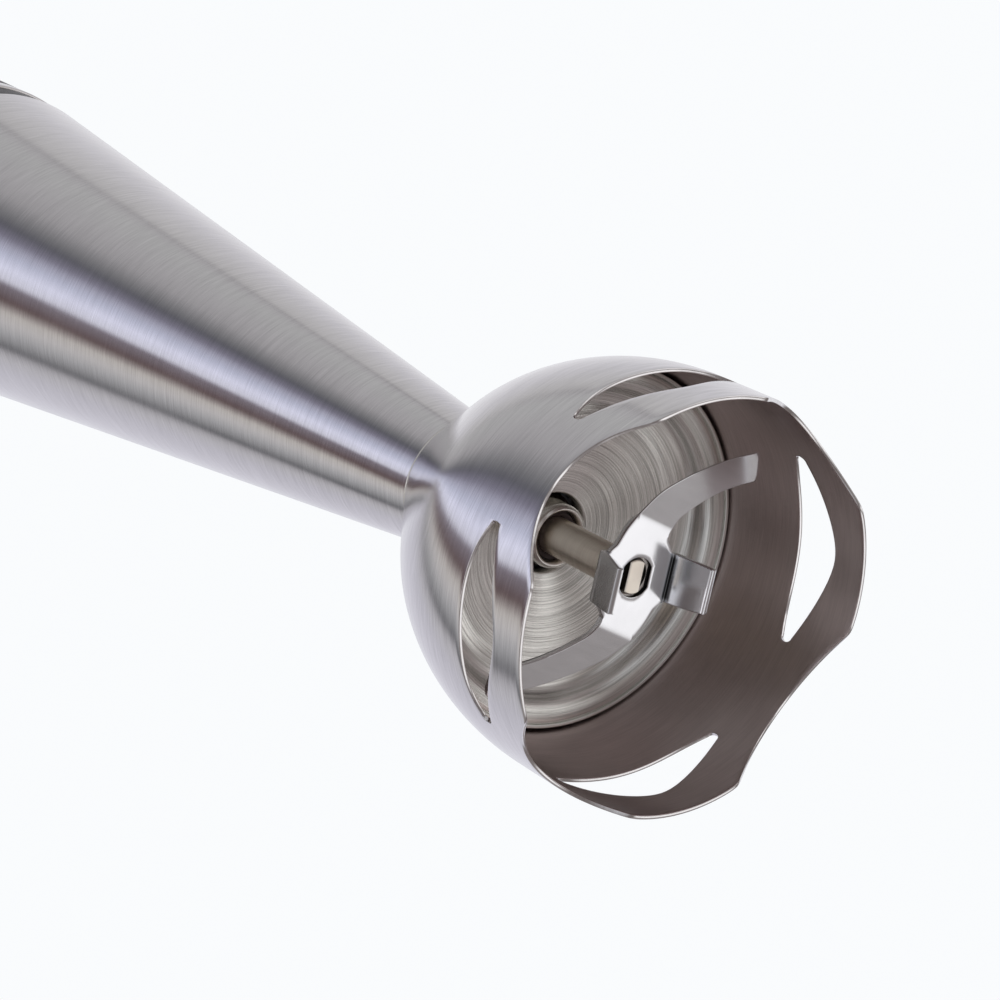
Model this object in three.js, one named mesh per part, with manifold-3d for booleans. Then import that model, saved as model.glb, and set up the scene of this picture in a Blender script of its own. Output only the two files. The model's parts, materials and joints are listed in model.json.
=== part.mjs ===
// Immersion blender: a steel leg with a lobed bell and a two-armed blade, and a motor unit
// that the leg plugs into. Millimetres, +Z up. The origin is the centre of the bell's rim,
// so the blender stands on its bell and the handle's axis is Z. The front is -Y.
import * as THREE from 'three';
import { mergeVertices } from 'three/addons/utils/BufferGeometryUtils.js';
import Module from 'manifold-3d';

const wasm = await Module();
wasm.setup();

const gap = 0.3;
const rad = Math.PI / 180;

// Bell: a cylinder, an arc that turns inwards, then a straight cone up to the neck.
const bellRadius = 32.5;
const bellSheet = 0.8;
const bellStraight = 14.7;
const bellArc = 48.4;
const bellTurn = 35.5 * rad;
const neckRadius = 11.4;
const lobeCount = 4;
const scallopRadius = 21.5;
const scallopDepth = 5.5;
const linerSheet = 0.8;

// Leg tube: a straight cone.
const tubeBottom = 57;
const tubeTop = 232;
const tubeSheet = 0.8;
const tubeRadiusAt = (z) => 11.07 + 0.1132 * (z - 60.07);

// Blade and drive shaft.
const shaftRadius = 3;
const shaftTop = 243;
const tenonRadius = 2.75;
const tenonFlat = 1.55;
const tenonRecess = 0.4;
const hubHoleRadius = 3.15;
const hubHoleFlat = 2.6;
const bladeZ = 15;
const bladeSheet = 1.5;
const armBendDistance = 8.8;
const armBendDirection = -60 * rad;
const armBendAngle = 8 * rad;
const tabDistance = 6.26;
const tabDirection = 12.2 * rad;
const tabBendAngle = 72 * rad;
const tabLength = 7.2;
const tabWidth = 7.6;
const tabOverlap = 0.5;

// Motor unit: heights of its stations along Z.
const jointZ = 240;
const collarRadius = 30.5;
const spigotRadius = 26;
const spigotTop = 252;
const housingTop = 375.7;
const housingWall = 2.5;
const gripSkin = 1;
const capTop = 390;
const statorBottom = 282;
const statorTop = 308;
const statorFlat = 19.6;
const rotorRadius = 12.9;
const motorShaftRadius = 2.5;
const commutatorRadius = 8;
const fanBottom = 268;
const fanRadius = 15;
const tieRodX = 17.2;
const tieRodY = 8;
const brushZ = 320.5;
const boardY = -12.1;
const powerButtonZ = 355;
const turboButtonZ = 331;
const releaseButtonZ = 261;
const frontKey = { width: 14.2, height: 18.2 };
const sideKey = { width: 12.2, height: 16.2 };
const keyClearance = 0.8;
const keyCorner = 3;
const keyBevel = 0.5;
const dialY = -8;
const dialRadius = 13;
const dialTop = 400;
const glandY = 17.5;
const ventCount = 5;
const ventSpacing = 14 * rad;
const bossRadius = 4;
const screwBore = 1.7;
const counterbore = 3.1;
const screwPlaces = [[-24.2, 272.5], [24.2, 272.5], [-20.4, 345], [20.4, 345]];

const bellSegments = 48;
const fine = 28;
const medium = 16;
const coarse = 10;

const finish = {
  brushedSteel: { color: 0x9a979a, roughness: 0.32, metalness: 1 },
  spunSteel: { color: 0xa9aaa4, roughness: 0.35, metalness: 1 },
  bladeSteel: { color: 0xb4b6ba, roughness: 0.28, metalness: 1 },
  shaftSteel: { color: 0x9c8d80, roughness: 0.3, metalness: 1 },
  bronze: { color: 0xb9a88c, roughness: 0.4, metalness: 1 },
  rubber: { color: 0x1c1c1e, roughness: 0.8, metalness: 0 },
  darkPlastic: { color: 0x242427, roughness: 0.5, metalness: 0 },
  greyPlastic: { color: 0x6e7074, roughness: 0.45, metalness: 0 },
  nylon: { color: 0xd8d4c8, roughness: 0.5, metalness: 0 },
  castAlloy: { color: 0x8e9092, roughness: 0.55, metalness: 1 },
  lamination: { color: 0x54565a, roughness: 0.6, metalness: 1 },
  copper: { color: 0xa8582c, roughness: 0.4, metalness: 1 },
  carbon: { color: 0x2b2b2d, roughness: 0.9, metalness: 0 },
  brass: { color: 0xb79a56, roughness: 0.35, metalness: 1 },
  circuit: { color: 0x2d6b3c, roughness: 0.6, metalness: 0 },
};

// ---- Shared shape tools ----

// Vertices shared, triangles that shrank to a line dropped.
function tidyMesh(geometry) {
  geometry.deleteAttribute('normal');
  geometry.deleteAttribute('uv');
  const shared = mergeVertices(geometry, 1e-4);
  const corners = shared.index.array;
  const kept = [];
  for (let i = 0; i < corners.length; i += 3) {
    const [a, b, c] = [corners[i], corners[i + 1], corners[i + 2]];
    if (a !== b && b !== c && c !== a) kept.push(a, b, c);
  }
  shared.setIndex(kept);
  return shared;
}

function toSolid(geometry) {
  const shared = tidyMesh(geometry);
  const mesh = new wasm.Mesh({
    numProp: 3,
    vertProperties: new Float32Array(shared.attributes.position.array),
    triVerts: new Uint32Array(shared.index.array),
  });
  return new wasm.Manifold(mesh);
}

function toGeometry(solid) {
  const mesh = solid.getMesh();
  const geometry = new THREE.BufferGeometry();
  geometry.setAttribute('position', new THREE.BufferAttribute(new Float32Array(mesh.vertProperties), 3));
  geometry.setIndex(Array.from(mesh.triVerts));
  return geometry;
}

const cut = (body, ...tools) => toGeometry(tools.reduce((a, b) => a.subtract(toSolid(b)), toSolid(body)));
const join = (body, ...others) => toGeometry(others.reduce((a, b) => a.add(toSolid(b)), toSolid(body)));
const common = (body, other) => toGeometry(toSolid(body).intersect(toSolid(other)));

// A profile of [radius, z] pairs turned about Z. It runs up the outside and down the
// inside; a profile that touches the axis starts and ends on it.
function turned(profile, segments = medium) {
  const points = profile.map(([r, z]) => new THREE.Vector2(r, z));
  const first = points[0];
  const onAxis = first.x === 0 && points[points.length - 1].x === 0;
  if (!onAxis) points.push(first.clone());
  return new THREE.LatheGeometry(points, segments).rotateX(Math.PI / 2);
}

const rod = (radius, z0, z1, segments = coarse) =>
  turned([[0, z0], [radius, z0], [radius, z1], [0, z1]], segments);

const ring = (inner, outer, z0, z1, segments = medium) =>
  turned([[inner, z0], [outer, z0], [outer, z1], [inner, z1]], segments);

const box = (x0, x1, y0, y1, z0, z1) =>
  new THREE.BoxGeometry(x1 - x0, y1 - y0, z1 - z0)
    .translate((x0 + x1) / 2, (y0 + y1) / 2, (z0 + z1) / 2);

const slab = (shape, z0, z1, curveSegments = 4) =>
  new THREE.ExtrudeGeometry(shape, { depth: z1 - z0, bevelEnabled: false, curveSegments })
    .translate(0, 0, z0);

function roundedRectangle(width, height, corner) {
  const [w, h] = [width / 2, height / 2];
  const shape = new THREE.Shape();
  shape.moveTo(-w + corner, -h);
  shape.absarc(w - corner, -h + corner, corner, -Math.PI / 2, 0);
  shape.absarc(w - corner, h - corner, corner, 0, Math.PI / 2);
  shape.absarc(-w + corner, h - corner, corner, Math.PI / 2, Math.PI);
  shape.absarc(-w + corner, -h + corner, corner, Math.PI, 1.5 * Math.PI);
  return shape;
}

// A circle with two flats square to its own X axis.
function doubleFlat(radius, flat) {
  const edge = Math.acos(flat / radius);
  const shape = new THREE.Shape();
  shape.absarc(0, 0, radius, edge, Math.PI - edge);
  shape.absarc(0, 0, radius, Math.PI + edge, 2 * Math.PI - edge);
  shape.closePath();
  return shape;
}

function part(name, geometry, look, place = [0, 0, 0], turn = [0, 0, 0]) {
  const mesh = new THREE.Mesh(tidyMesh(geometry), new THREE.MeshStandardMaterial(finish[look]));
  mesh.name = name;
  mesh.position.set(...place);
  mesh.rotation.set(...turn);
  return mesh;
}

// ---- Leg ----

// Outer bell profile, offset inwards by `inset`, from the rim up to the height where its
// cone reaches the radius `stopRadius`.
function bellProfile(inset, stopRadius) {
  const centre = bellRadius - bellArc;
  const arcRadius = bellArc - inset;
  const points = [[bellRadius - inset, 0], [bellRadius - inset, bellStraight]];
  const steps = 5;
  for (let i = 1; i <= steps; i++) {
    const angle = (bellTurn * i) / steps;
    points.push([centre + arcRadius * Math.cos(angle), bellStraight + arcRadius * Math.sin(angle)]);
  }
  const [endRadius, endZ] = points[points.length - 1];
  points.push([stopRadius, endZ + (endRadius - stopRadius) / Math.tan(bellTurn)]);
  return points;
}

// Slot outline in a tangent plane: x along the rim, y up. Level top, a blunt point below.
function slotShape() {
  const tip = { x: 14.75, y: 12, radius: 0.8 };
  const pointY = 5.97;
  const flank = Math.atan2(10.8 - pointY, 13.66);
  const fillet = 1.7;
  const shape = new THREE.Shape();
  shape.moveTo(-fillet, pointY + fillet * Math.tan(flank));
  shape.quadraticCurveTo(0, pointY, fillet, pointY + fillet * Math.tan(flank));
  shape.absarc(tip.x, tip.y, tip.radius, flank - Math.PI / 2, 0.6 * Math.PI);
  shape.quadraticCurveTo(12.2, 14.55, 0, 14.5);
  shape.quadraticCurveTo(-12.2, 14.55, -tip.x - tip.radius * Math.cos(0.6 * Math.PI),
    tip.y + tip.radius * Math.sin(0.6 * Math.PI));
  shape.absarc(-tip.x, tip.y, tip.radius, 0.4 * Math.PI, 1.5 * Math.PI - flank);
  return shape;
}

function bellGuard() {
  const outer = bellProfile(0, neckRadius + 0.05);
  const inner = bellProfile(bellSheet, neckRadius).reverse();
  const neckEdge = [neckRadius, outer[outer.length - 1][1] - 0.1];
  const shell = turned([...outer, neckEdge, ...inner], bellSegments);
  const slot = slab(slotShape(), 0, 12, 4).rotateX(Math.PI / 2).translate(0, -26, 0);
  const scallop = new THREE.CylinderGeometry(scallopRadius, scallopRadius, 20, 36)
    .translate(0, -30, scallopDepth - scallopRadius);
  const tools = [];
  for (let i = 0; i < lobeCount; i++) {
    const turn = (i * 2 * Math.PI) / lobeCount;
    tools.push(slot.clone().rotateZ(turn));
    tools.push(scallop.clone().rotateZ(turn + Math.PI / lobeCount));
  }
  return cut(shell, ...tools);
}

function legTube() {
  const [low, high] = [tubeRadiusAt(tubeBottom), tubeRadiusAt(tubeTop)];
  return turned([[low, tubeBottom], [high, tubeTop], [high - tubeSheet, tubeTop],
    [low - tubeSheet, tubeBottom]], fine);
}

// Dished disc that closes the bell above the blade: a raised ring near its edge.
function bellLiner() {
  const face = [[7.1, 36.2], [14, 34.3], [20, 32.2], [23.6, 30.7], [25.2, 29.2], [26.6, 28.4],
    [28.2, 28.3], [28.95, 28.7]];
  const back = face.map(([r, z]) => [r, z + linerSheet]).reverse();
  return turned([...face, ...back], fine);
}

const bushHousing = () => turned([[6.3, 41], [8.4, 41], [8.4, 54], [9.5, 57.5], [9.5, 72], [6.3, 72]]);

const lowerBush = () => turned([[4.5, 36], [5.6, 35.8], [6, 36.4], [6, 56], [shaftRadius + gap, 56],
  [shaftRadius + gap, 41], [4.5, 40]]);

const shaftSeal = () =>
  turned([[shaftRadius + 0.25, 37], [4.2, 36.6], [4.2, 39.6], [shaftRadius + 0.6, 39.4]], coarse);

const bearingCarrier = () => turned([[9.8, 222], [12.5, 222], [12.5, 224.5], [27, 224.5], [27, 228],
  [12.5, 228], [12.5, 233], [9.8, 233]]);

const legBearing = () => ring(shaftRadius + gap, 9.5, 225.5, 231.5);

function legCollar() {
  return turned([[27.3, 222], [28.2, 222], [29.1, 230], [29.1, tubeTop + gap], [collarRadius, tubeTop + gap],
    [collarRadius, jointZ - 0.6], [collarRadius - 0.6, jointZ], [spigotRadius, jointZ],
    [spigotRadius, spigotTop - 1], [spigotRadius - 1, spigotTop], [23.4, spigotTop], [23.4, 236],
    [27.3, 232]], fine);
}

function legGroup() {
  const group = new THREE.Group();
  group.add(
    part('bell_guard', bellGuard(), 'brushedSteel'),
    part('leg_tube', legTube(), 'brushedSteel'),
    part('bell_liner', bellLiner(), 'spunSteel'),
    part('bush_housing', bushHousing(), 'greyPlastic'),
    part('lower_bush', lowerBush(), 'bronze'),
    part('shaft_seal', shaftSeal(), 'rubber'),
    part('bearing_carrier', bearingCarrier(), 'greyPlastic'),
    part('leg_bearing', legBearing(), 'shaftSteel'),
    part('leg_collar', legCollar(), 'darkPlastic'),
  );
  return group;
}

// ---- Blade and drive shaft ----

// One swept arm with half of the hub, drawn as points of the blade's outline; the other half
// is the same turned by 180 degrees.
function addArm(shape, sign) {
  const at = (x, y) => new THREE.Vector2(sign * x, sign * y);
  shape.splineThru([at(-2.2, -8.1), at(0.5, -10.5), at(4.5, -12.5), at(13.7, -14.4), at(23.6, -14.75)]);
  shape.quadraticCurveTo(...at(25.3, -14.6).toArray(), ...at(25.1, -13.6).toArray());
  shape.lineTo(...at(24.4, -11.2).toArray());
  shape.quadraticCurveTo(...at(24.1, -10.4).toArray(), ...at(23.1, -10.4).toArray());
  shape.splineThru([at(18, -10.3), at(10.7, -8.7), at(7.7, -7.5)]);
  shape.splineThru([at(6.3, -6.2), at(5.9, -5), at(6.4, -3.85)]);
}

// Corners of a tab's root: on the bend line, `side` is +1 or -1 along it.
function tabCorner(sign, side) {
  const across = new THREE.Vector2(-Math.sin(tabDirection), Math.cos(tabDirection));
  const out = new THREE.Vector2(Math.cos(tabDirection), Math.sin(tabDirection));
  return out.multiplyScalar(tabDistance).addScaledVector(across, (side * tabWidth) / 2).multiplyScalar(sign);
}

function bladeShape() {
  const shape = new THREE.Shape();
  shape.moveTo(-3.8, -6);
  for (const sign of [1, -1]) {
    addArm(shape, sign);
    shape.lineTo(...tabCorner(sign, -1).toArray());
    shape.lineTo(...tabCorner(sign, 1).toArray());
    shape.lineTo(3.8 * sign, 6 * sign);
  }
  return shape;
}

// Side view of a tab: a strip folded down, measured from its bend line on the lower face.
function tabSideView() {
  const c = Math.cos(tabBendAngle);
  const s = Math.sin(tabBendAngle);
  const shape = new THREE.Shape();
  shape.moveTo(-tabOverlap, 0);
  shape.lineTo(0, 0);
  shape.lineTo(tabLength * c, -tabLength * s);
  shape.lineTo(tabLength * c + bladeSheet * s, bladeSheet * c - tabLength * s);
  shape.lineTo(bladeSheet * Math.tan(tabBendAngle / 2), bladeSheet);
  shape.lineTo(-tabOverlap, bladeSheet);
  return shape;
}

function blade() {
  const flat = slab(bladeShape(), bladeZ, bladeZ + bladeSheet, 2);
  const far = 40;
  const hubBox = box(-armBendDistance, armBendDistance, -far, far, 0, far).rotateZ(armBendDirection);
  let solid = toSolid(common(flat.clone(), hubBox));
  for (const sign of [0, Math.PI]) {
    // Arm: everything past the bend line, tipped up about the line on the lower face.
    const armBox = box(armBendDistance, far, -far, far, 0, far).rotateZ(armBendDirection + sign);
    const arm = common(flat.clone(), armBox)
      .rotateZ(-armBendDirection - sign)
      .translate(-armBendDistance, 0, -bladeZ)
      .rotateY(-armBendAngle)
      .translate(armBendDistance, 0, bladeZ)
      .rotateZ(armBendDirection + sign);
    solid = solid.add(toSolid(arm));
    const tab = slab(tabSideView(), -tabWidth / 2, tabWidth / 2)
      .rotateX(Math.PI / 2)
      .translate(tabDistance, 0, bladeZ)
      .rotateZ(tabDirection + sign);
    solid = solid.add(toSolid(tab));
  }
  const hole = slab(doubleFlat(hubHoleRadius, hubHoleFlat), bladeZ - 5, bladeZ + 5).rotateZ(tabDirection);
  return toGeometry(solid.subtract(toSolid(hole)));
}

function driveShaft() {
  const shoulderZ = bladeZ + bladeSheet + gap;
  const endZ = bladeZ + tenonRecess;
  const tenon = slab(doubleFlat(tenonRadius, tenonFlat), endZ, shoulderZ + 1).rotateZ(tabDirection);
  return join(rod(shaftRadius, shoulderZ, shaftTop, medium), tenon);
}

function drivenCoupling() {
  const hub = rod(8, 234.5, 241.5, medium);
  const drive = rod(5, 241, 250, 6);
  return cut(join(hub, drive), rod(shaftRadius + gap, 230, shaftTop + 0.5));
}

function bladeGroup() {
  const group = new THREE.Group();
  group.add(
    part('blade', blade(), 'bladeSteel'),
    part('drive_shaft', driveShaft(), 'shaftSteel'),
    part('shaft_circlip', ring(shaftRadius + gap, 5, 222.6, 223.6, coarse), 'shaftSteel'),
    part('driven_coupling', drivenCoupling(), 'nylon'),
  );
  return group;
}

// ---- Motor rotor ----

function coolingFan() {
  const hub = ring(motorShaftRadius + gap, 5, fanBottom, fanBottom + 8, coarse);
  const disc = ring(4.5, fanRadius, fanBottom, fanBottom + 1, medium);
  const vanes = [];
  const vaneCount = 9;
  for (let i = 0; i < vaneCount; i++) {
    const vane = box(4.5, fanRadius - 0.2, -0.5, 0.5, fanBottom + 0.5, fanBottom + 7);
    vanes.push(vane.rotateZ((i * 2 * Math.PI) / vaneCount));
  }
  return join(hub, disc, ...vanes);
}

function rotorCore() {
  const slots = [];
  const slotCount = 10;
  for (let i = 0; i < slotCount; i++) {
    const slot = box(10.2, 14, -0.8, 0.8, statorBottom - 1, statorTop + 1);
    slots.push(slot.rotateZ((i * 2 * Math.PI) / slotCount));
  }
  return cut(ring(motorShaftRadius + gap, rotorRadius, statorBottom, statorTop), ...slots);
}

const winding = (z0, z1) => turned([[motorShaftRadius + gap, z0], [9, z0], [10.6, (z0 + z1) / 2], [9, z1],
  [motorShaftRadius + gap, z1]]);

const driveDog = () => cut(rod(8, 244, 258), rod(5.5, 240, 251, 6), rod(motorShaftRadius + gap, 250, 262));

function rotorGroup() {
  const group = new THREE.Group();
  group.add(
    part('rotor_core', rotorCore(), 'lamination'),
    part('motor_shaft', rod(motorShaftRadius, 252, 336), 'shaftSteel'),
    part('rotor_winding_lower', winding(277.5, statorBottom - gap), 'copper'),
    part('rotor_winding_upper', winding(statorTop + gap, 314), 'copper'),
    part('commutator', ring(motorShaftRadius + gap, commutatorRadius, brushZ - 5, brushZ + 5), 'copper'),
    part('cooling_fan', coolingFan(), 'darkPlastic'),
    part('drive_dog', driveDog(), 'nylon'),
  );
  return group;
}

// ---- Motor unit ----

const handleCurve = new THREE.SplineCurve([[31, 250], [31.1, 264], [28.9, 300], [27.9, 335], [28.7, 362],
  [29.6, housingTop]].map(([r, z]) => new THREE.Vector2(r, z)));

const handlePoints = (inset, divisions = 5) =>
  handleCurve.getPoints(divisions).map((point) => [point.x - inset, point.y]);

// A prism through the wall for a key of this size, lying along -Y.
const keyHole = ({ width, height }) =>
  slab(roundedRectangle(width + keyClearance, height + keyClearance, keyCorner), 0, 14).rotateX(Math.PI / 2);

// `side` is -1 for the front shell and +1 for the rear one.
function housingShell(side) {
  const inner = handlePoints(housingWall).filter(([, z]) => z > 258).reverse();
  const socket = spigotRadius + 0.4;
  const profile = [[socket, jointZ + 0.6], [28.3, jointZ + 0.6], [28.3, 246.3], [31, 246.3],
    ...handlePoints(0), ...inner, [28.4, 259], [socket, 256]];
  const seam = gap / 2;
  const half = side < 0 ? box(-40, 40, -40, -seam, 230, 400) : box(-40, 40, seam, 40, 230, 400);
  let solid = toSolid(common(turned(profile, fine), half));
  const core = toSolid(turned([[0, 250], ...handlePoints(1), [0, housingTop]], fine));
  for (const [x, z] of screwPlaces) {
    const boss = rod(bossRadius, seam, 28).rotateX((-side * Math.PI) / 2).translate(x, 0, z);
    const [boreFrom, boreTo] = side < 0 ? [-1, 11] : [-20, 1];
    const bore = rod(screwBore, boreFrom, boreTo).rotateX(Math.PI / 2).translate(x, 0, z);
    solid = solid.add(toSolid(boss).intersect(core)).subtract(toSolid(bore));
    if (side > 0) {
      const headSeat = rod(counterbore, -40, -8).rotateX(Math.PI / 2).translate(x, 0, z);
      solid = solid.subtract(toSolid(headSeat));
    }
  }
  for (const x of [-1, 1]) {
    const hole = keyHole(sideKey).translate(0, -22, releaseButtonZ).rotateZ((x * Math.PI) / 2);
    solid = solid.subtract(toSolid(hole));
  }
  if (side < 0) {
    for (const z of [powerButtonZ, turboButtonZ]) {
      solid = solid.subtract(toSolid(keyHole(frontKey).translate(0, -20, z)));
    }
  } else {
    for (let i = 0; i < ventCount; i++) {
      const turn = (i - (ventCount - 1) / 2) * ventSpacing;
      solid = solid.subtract(toSolid(box(-1, 1, 20, 40, 365.5, 372.5).rotateZ(turn)));
    }
  }
  return toGeometry(solid);
}

// Rubber skin over the back of the handle, a slice of a shell between two heights.
function softGrip() {
  const skin = handlePoints(0).filter(([, z]) => z > 266 && z < 366);
  const outside = skin.map(([r, z]) => [r + gap + gripSkin, z]);
  const inside = skin.map(([r, z]) => [r + gap, z]).reverse();
  const [low, high] = [skin[0][1], skin[skin.length - 1][1]];
  const middle = (low + high) / 2;
  const window = slab(roundedRectangle(50, high - low - 0.5, 12), 0, 40).rotateX(-Math.PI / 2)
    .translate(0, 2, middle);
  return common(turned([...outside, ...inside], fine), window);
}

function topCap() {
  const profile = [[0, 387.4], [23.6, 387.4], [27, 383], [27, 376.1], [29.6, 376.1], [29.6, 382],
    [28.6, 386.4], [26.2, 389.2], [24, capTop], [0, capTop]];
  return cut(turned(profile, fine), rod(4, 380, 395).translate(0, dialY, 0),
    rod(6, 380, 395).translate(0, glandY, 0));
}

const cableGland = () => turned([[3.6, 384], [5.7, 384], [5.7, capTop + gap],
  [7.4, capTop + gap], [7.4, 391.6], [5.8, 393], [3.6, 393]]);

function mountPlate() {
  const plate = turned([[8.6, 259], [27.6, 259.4], [27.6, 266], [8.6, 266]], fine);
  const trimmed = common(plate, box(-23.5, 23.5, -40, 40, 250, 280));
  const holes = [-1, 1].map((side) => rod(1.8, 255, 270).translate(side * tieRodX, side * tieRodY, 0));
  return cut(trimmed, ...holes);
}

function upperBracket() {
  const bar = slab(roundedRectangle(46, 21, 5), 327, 334);
  const holes = [-1, 1].map((side) => rod(1.8, 320, 340).translate(side * tieRodX, side * tieRodY, 0));
  return cut(bar, rod(8.3, 326, 332.6, medium), rod(5, 330, 340), ...holes);
}

function statorCore() {
  const [low, high] = [statorBottom, statorTop];
  const slots = [];
  for (const x of [-1, 1]) {
    for (const y of [-1, 1]) {
      const slot = box(10.7, 14.7, 8, 17, low - 1, high + 1).scale(x, y, 1);
      if (x * y < 0) slot.index.array.reverse();
      slots.push(slot);
    }
    slots.push(rod(1.8, low - 1, high + 1).translate(x * tieRodX, x * tieRodY, 0));
  }
  const stack = common(rod(24, low, high, fine), box(-statorFlat, statorFlat, -30, 30, low - 5, high + 5));
  return cut(stack, rod(13.3, low - 1, high + 1, medium), ...slots);
}

// A flat coil wound round one stator pole.
function fieldCoil() {
  const height = statorTop - statorBottom;
  const loop = roundedRectangle(28.6, height + 9, 3);
  loop.holes.push(roundedRectangle(22, height + 0.7, 0.5));
  return slab(loop, 11.6, 16.6, 4).rotateX(Math.PI / 2);
}

const brushHolder = () => cut(box(10.2, 21, -4, 4, brushZ - 4, brushZ + 4),
  box(9, 19.5, -2.8, 2.8, brushZ - 2.8, brushZ + 2.8));

const carbonBrush = () => box(commutatorRadius + 0.4, 17, -2.4, 2.4, brushZ - 2.4, brushZ + 2.4);

const tieRod = () => join(rod(1.5, 261, 334.4, coarse), rod(2.9, 334.3, 336.5, coarse));

function controlBoard() {
  const board = box(-14, 14, boardY - 0.8, boardY + 0.8, 321, 372);
  const parts = [
    box(-12, -5, boardY, -3, 340, 352),
    box(4, 12, boardY, -2, 343, 356),
    box(-8, 2, boardY, -6, 358, 368),
  ];
  return join(board, ...parts);
}

const microSwitch = () => join(box(-6, 6, -18.8, -13.2, -4, 4), box(-1.5, 1.5, -20.2, -18.5, -1.5, 1.5));

const potentiometer = () => join(rod(8, 373, 380.5, medium), rod(4.2, 380, 383, coarse));

function housingScrew() {
  return join(rod(1.4, -10, 8.6), rod(2.7, 8.3, 10.8));
}

function motorUnitGroup() {
  const group = new THREE.Group();
  const upright = [-Math.PI / 2, 0, 0];
  group.add(
    part('housing_front', housingShell(-1), 'darkPlastic'),
    part('housing_rear', housingShell(1), 'darkPlastic'),
    part('soft_grip', softGrip(), 'rubber'),
    part('collar_ring', ring(28.6, 31, jointZ + 0.4, 246, fine), 'brushedSteel'),
    part('top_cap', topCap(), 'darkPlastic'),
    part('cable_gland', cableGland(), 'rubber', [0, glandY, 0]),
    part('mount_plate', mountPlate(), 'castAlloy'),
    part('upper_bracket', upperBracket(), 'castAlloy'),
    part('motor_bearing_lower', ring(motorShaftRadius + gap, 8.3, 259.5, 265.5), 'shaftSteel'),
    part('motor_bearing_upper', ring(motorShaftRadius + gap, 8, 327.5, 332.3), 'shaftSteel'),
    part('stator_core', statorCore(), 'lamination'),
    part('latch_ring', ring(23.6, 24.9, 253.5, 256), 'shaftSteel'),
    part('control_board', controlBoard(), 'circuit'),
    part('power_switch', microSwitch(), 'carbon', [0, 0, powerButtonZ]),
    part('turbo_switch', microSwitch(), 'carbon', [0, 0, turboButtonZ]),
    part('potentiometer', potentiometer(), 'castAlloy', [0, dialY, 0]),
  );
  [['rear', 0], ['front', Math.PI]].forEach(([where, turn]) => {
    const middle = (statorBottom + statorTop) / 2;
    const coil = fieldCoil().translate(0, 28.2, 0);
    group.add(part(`field_coil_${where}`, coil, 'copper', [0, 0, middle], [0, 0, turn]));
  });
  [['right', 0], ['left', Math.PI]].forEach(([where, turn]) => {
    const rodAt = tieRod().translate(tieRodX, tieRodY, 0);
    const origin = [0, 0, 0];
    group.add(
      part(`brush_holder_${where}`, brushHolder(), 'brass', origin, [0, 0, turn]),
      part(`carbon_brush_${where}`, carbonBrush(), 'carbon', origin, [0, 0, turn]),
      part(`tie_rod_${where}`, rodAt, 'shaftSteel', origin, [0, 0, turn]),
    );
  });
  screwPlaces.forEach(([x, z], i) => {
    group.add(part(`housing_screw_${i + 1}`, housingScrew(), 'shaftSteel', [x, 0, z], upright));
  });
  return group;
}

// ---- Controls ----

// Rounded key cap with bevelled edges, standing out along -Y.
function keyCap({ width, height }, depth) {
  const outline = roundedRectangle(width - 2 * keyBevel, height - 2 * keyBevel, keyCorner - keyBevel);
  return new THREE.ExtrudeGeometry(outline, {
    depth, bevelThickness: keyBevel, bevelSize: keyBevel, bevelSegments: 1, curveSegments: 3,
  }).rotateX(Math.PI / 2);
}

// Front button: a rounded key with a plunger that reaches its switch.
function frontButton() {
  const cap = keyCap(frontKey, 4.2).translate(0, -25.4, 0);
  const plunger = box(-3, 3, -25.5, -23.2, -3, 3);
  return join(cap, plunger);
}

const releaseButton = () => keyCap(sideKey, 3.9).rotateZ(Math.PI / 2).translate(27.9, 0, 0);

// Knob with grip ribs round its side and a pointer ridge on top.
function speedDial() {
  const knob = turned([[0, 390.5], [dialRadius, 390.5], [dialRadius + 0.4, 391], [dialRadius, dialTop - 1],
    [dialRadius - 1, dialTop], [0, dialTop]]);
  const grooves = [];
  const grooveCount = 12;
  for (let i = 0; i < grooveCount; i++) {
    const groove = rod(0.9, 392.5, 405, 8).translate(dialRadius + 0.8, 0, 0);
    grooves.push(groove.rotateZ((i * 2 * Math.PI) / grooveCount));
  }
  const pointer = box(-0.6, 0.6, -11, -4, dialTop - 0.6, dialTop + 1);
  return cut(knob, rod(2.9, 385, 397), ...grooves, pointer);
}

const dialSpindle = () => rod(2.6, 383.4, 396.6);

function controlsGroup() {
  const group = new THREE.Group();
  group.add(
    part('power_button', frontButton(), 'greyPlastic', [0, 0, powerButtonZ]),
    part('turbo_button', frontButton(), 'greyPlastic', [0, 0, turboButtonZ]),
    part('release_button_right', releaseButton(), 'greyPlastic', [0, 0, releaseButtonZ]),
    part('release_button_left', releaseButton(), 'greyPlastic', [0, 0, releaseButtonZ], [0, 0, Math.PI]),
    part('speed_dial', speedDial(), 'greyPlastic', [0, dialY, 0]),
    part('dial_spindle', dialSpindle(), 'shaftSteel', [0, dialY, 0]),
  );
  return group;
}

const blender = new THREE.Group();
blender.name = 'immersion_blender';
blender.add(legGroup(), bladeGroup(), rotorGroup(), motorUnitGroup(), controlsGroup());

export default blender;
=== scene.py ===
import json
import math
import bmesh
import bpy
import numpy as np
from mathutils import Matrix, Vector


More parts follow.
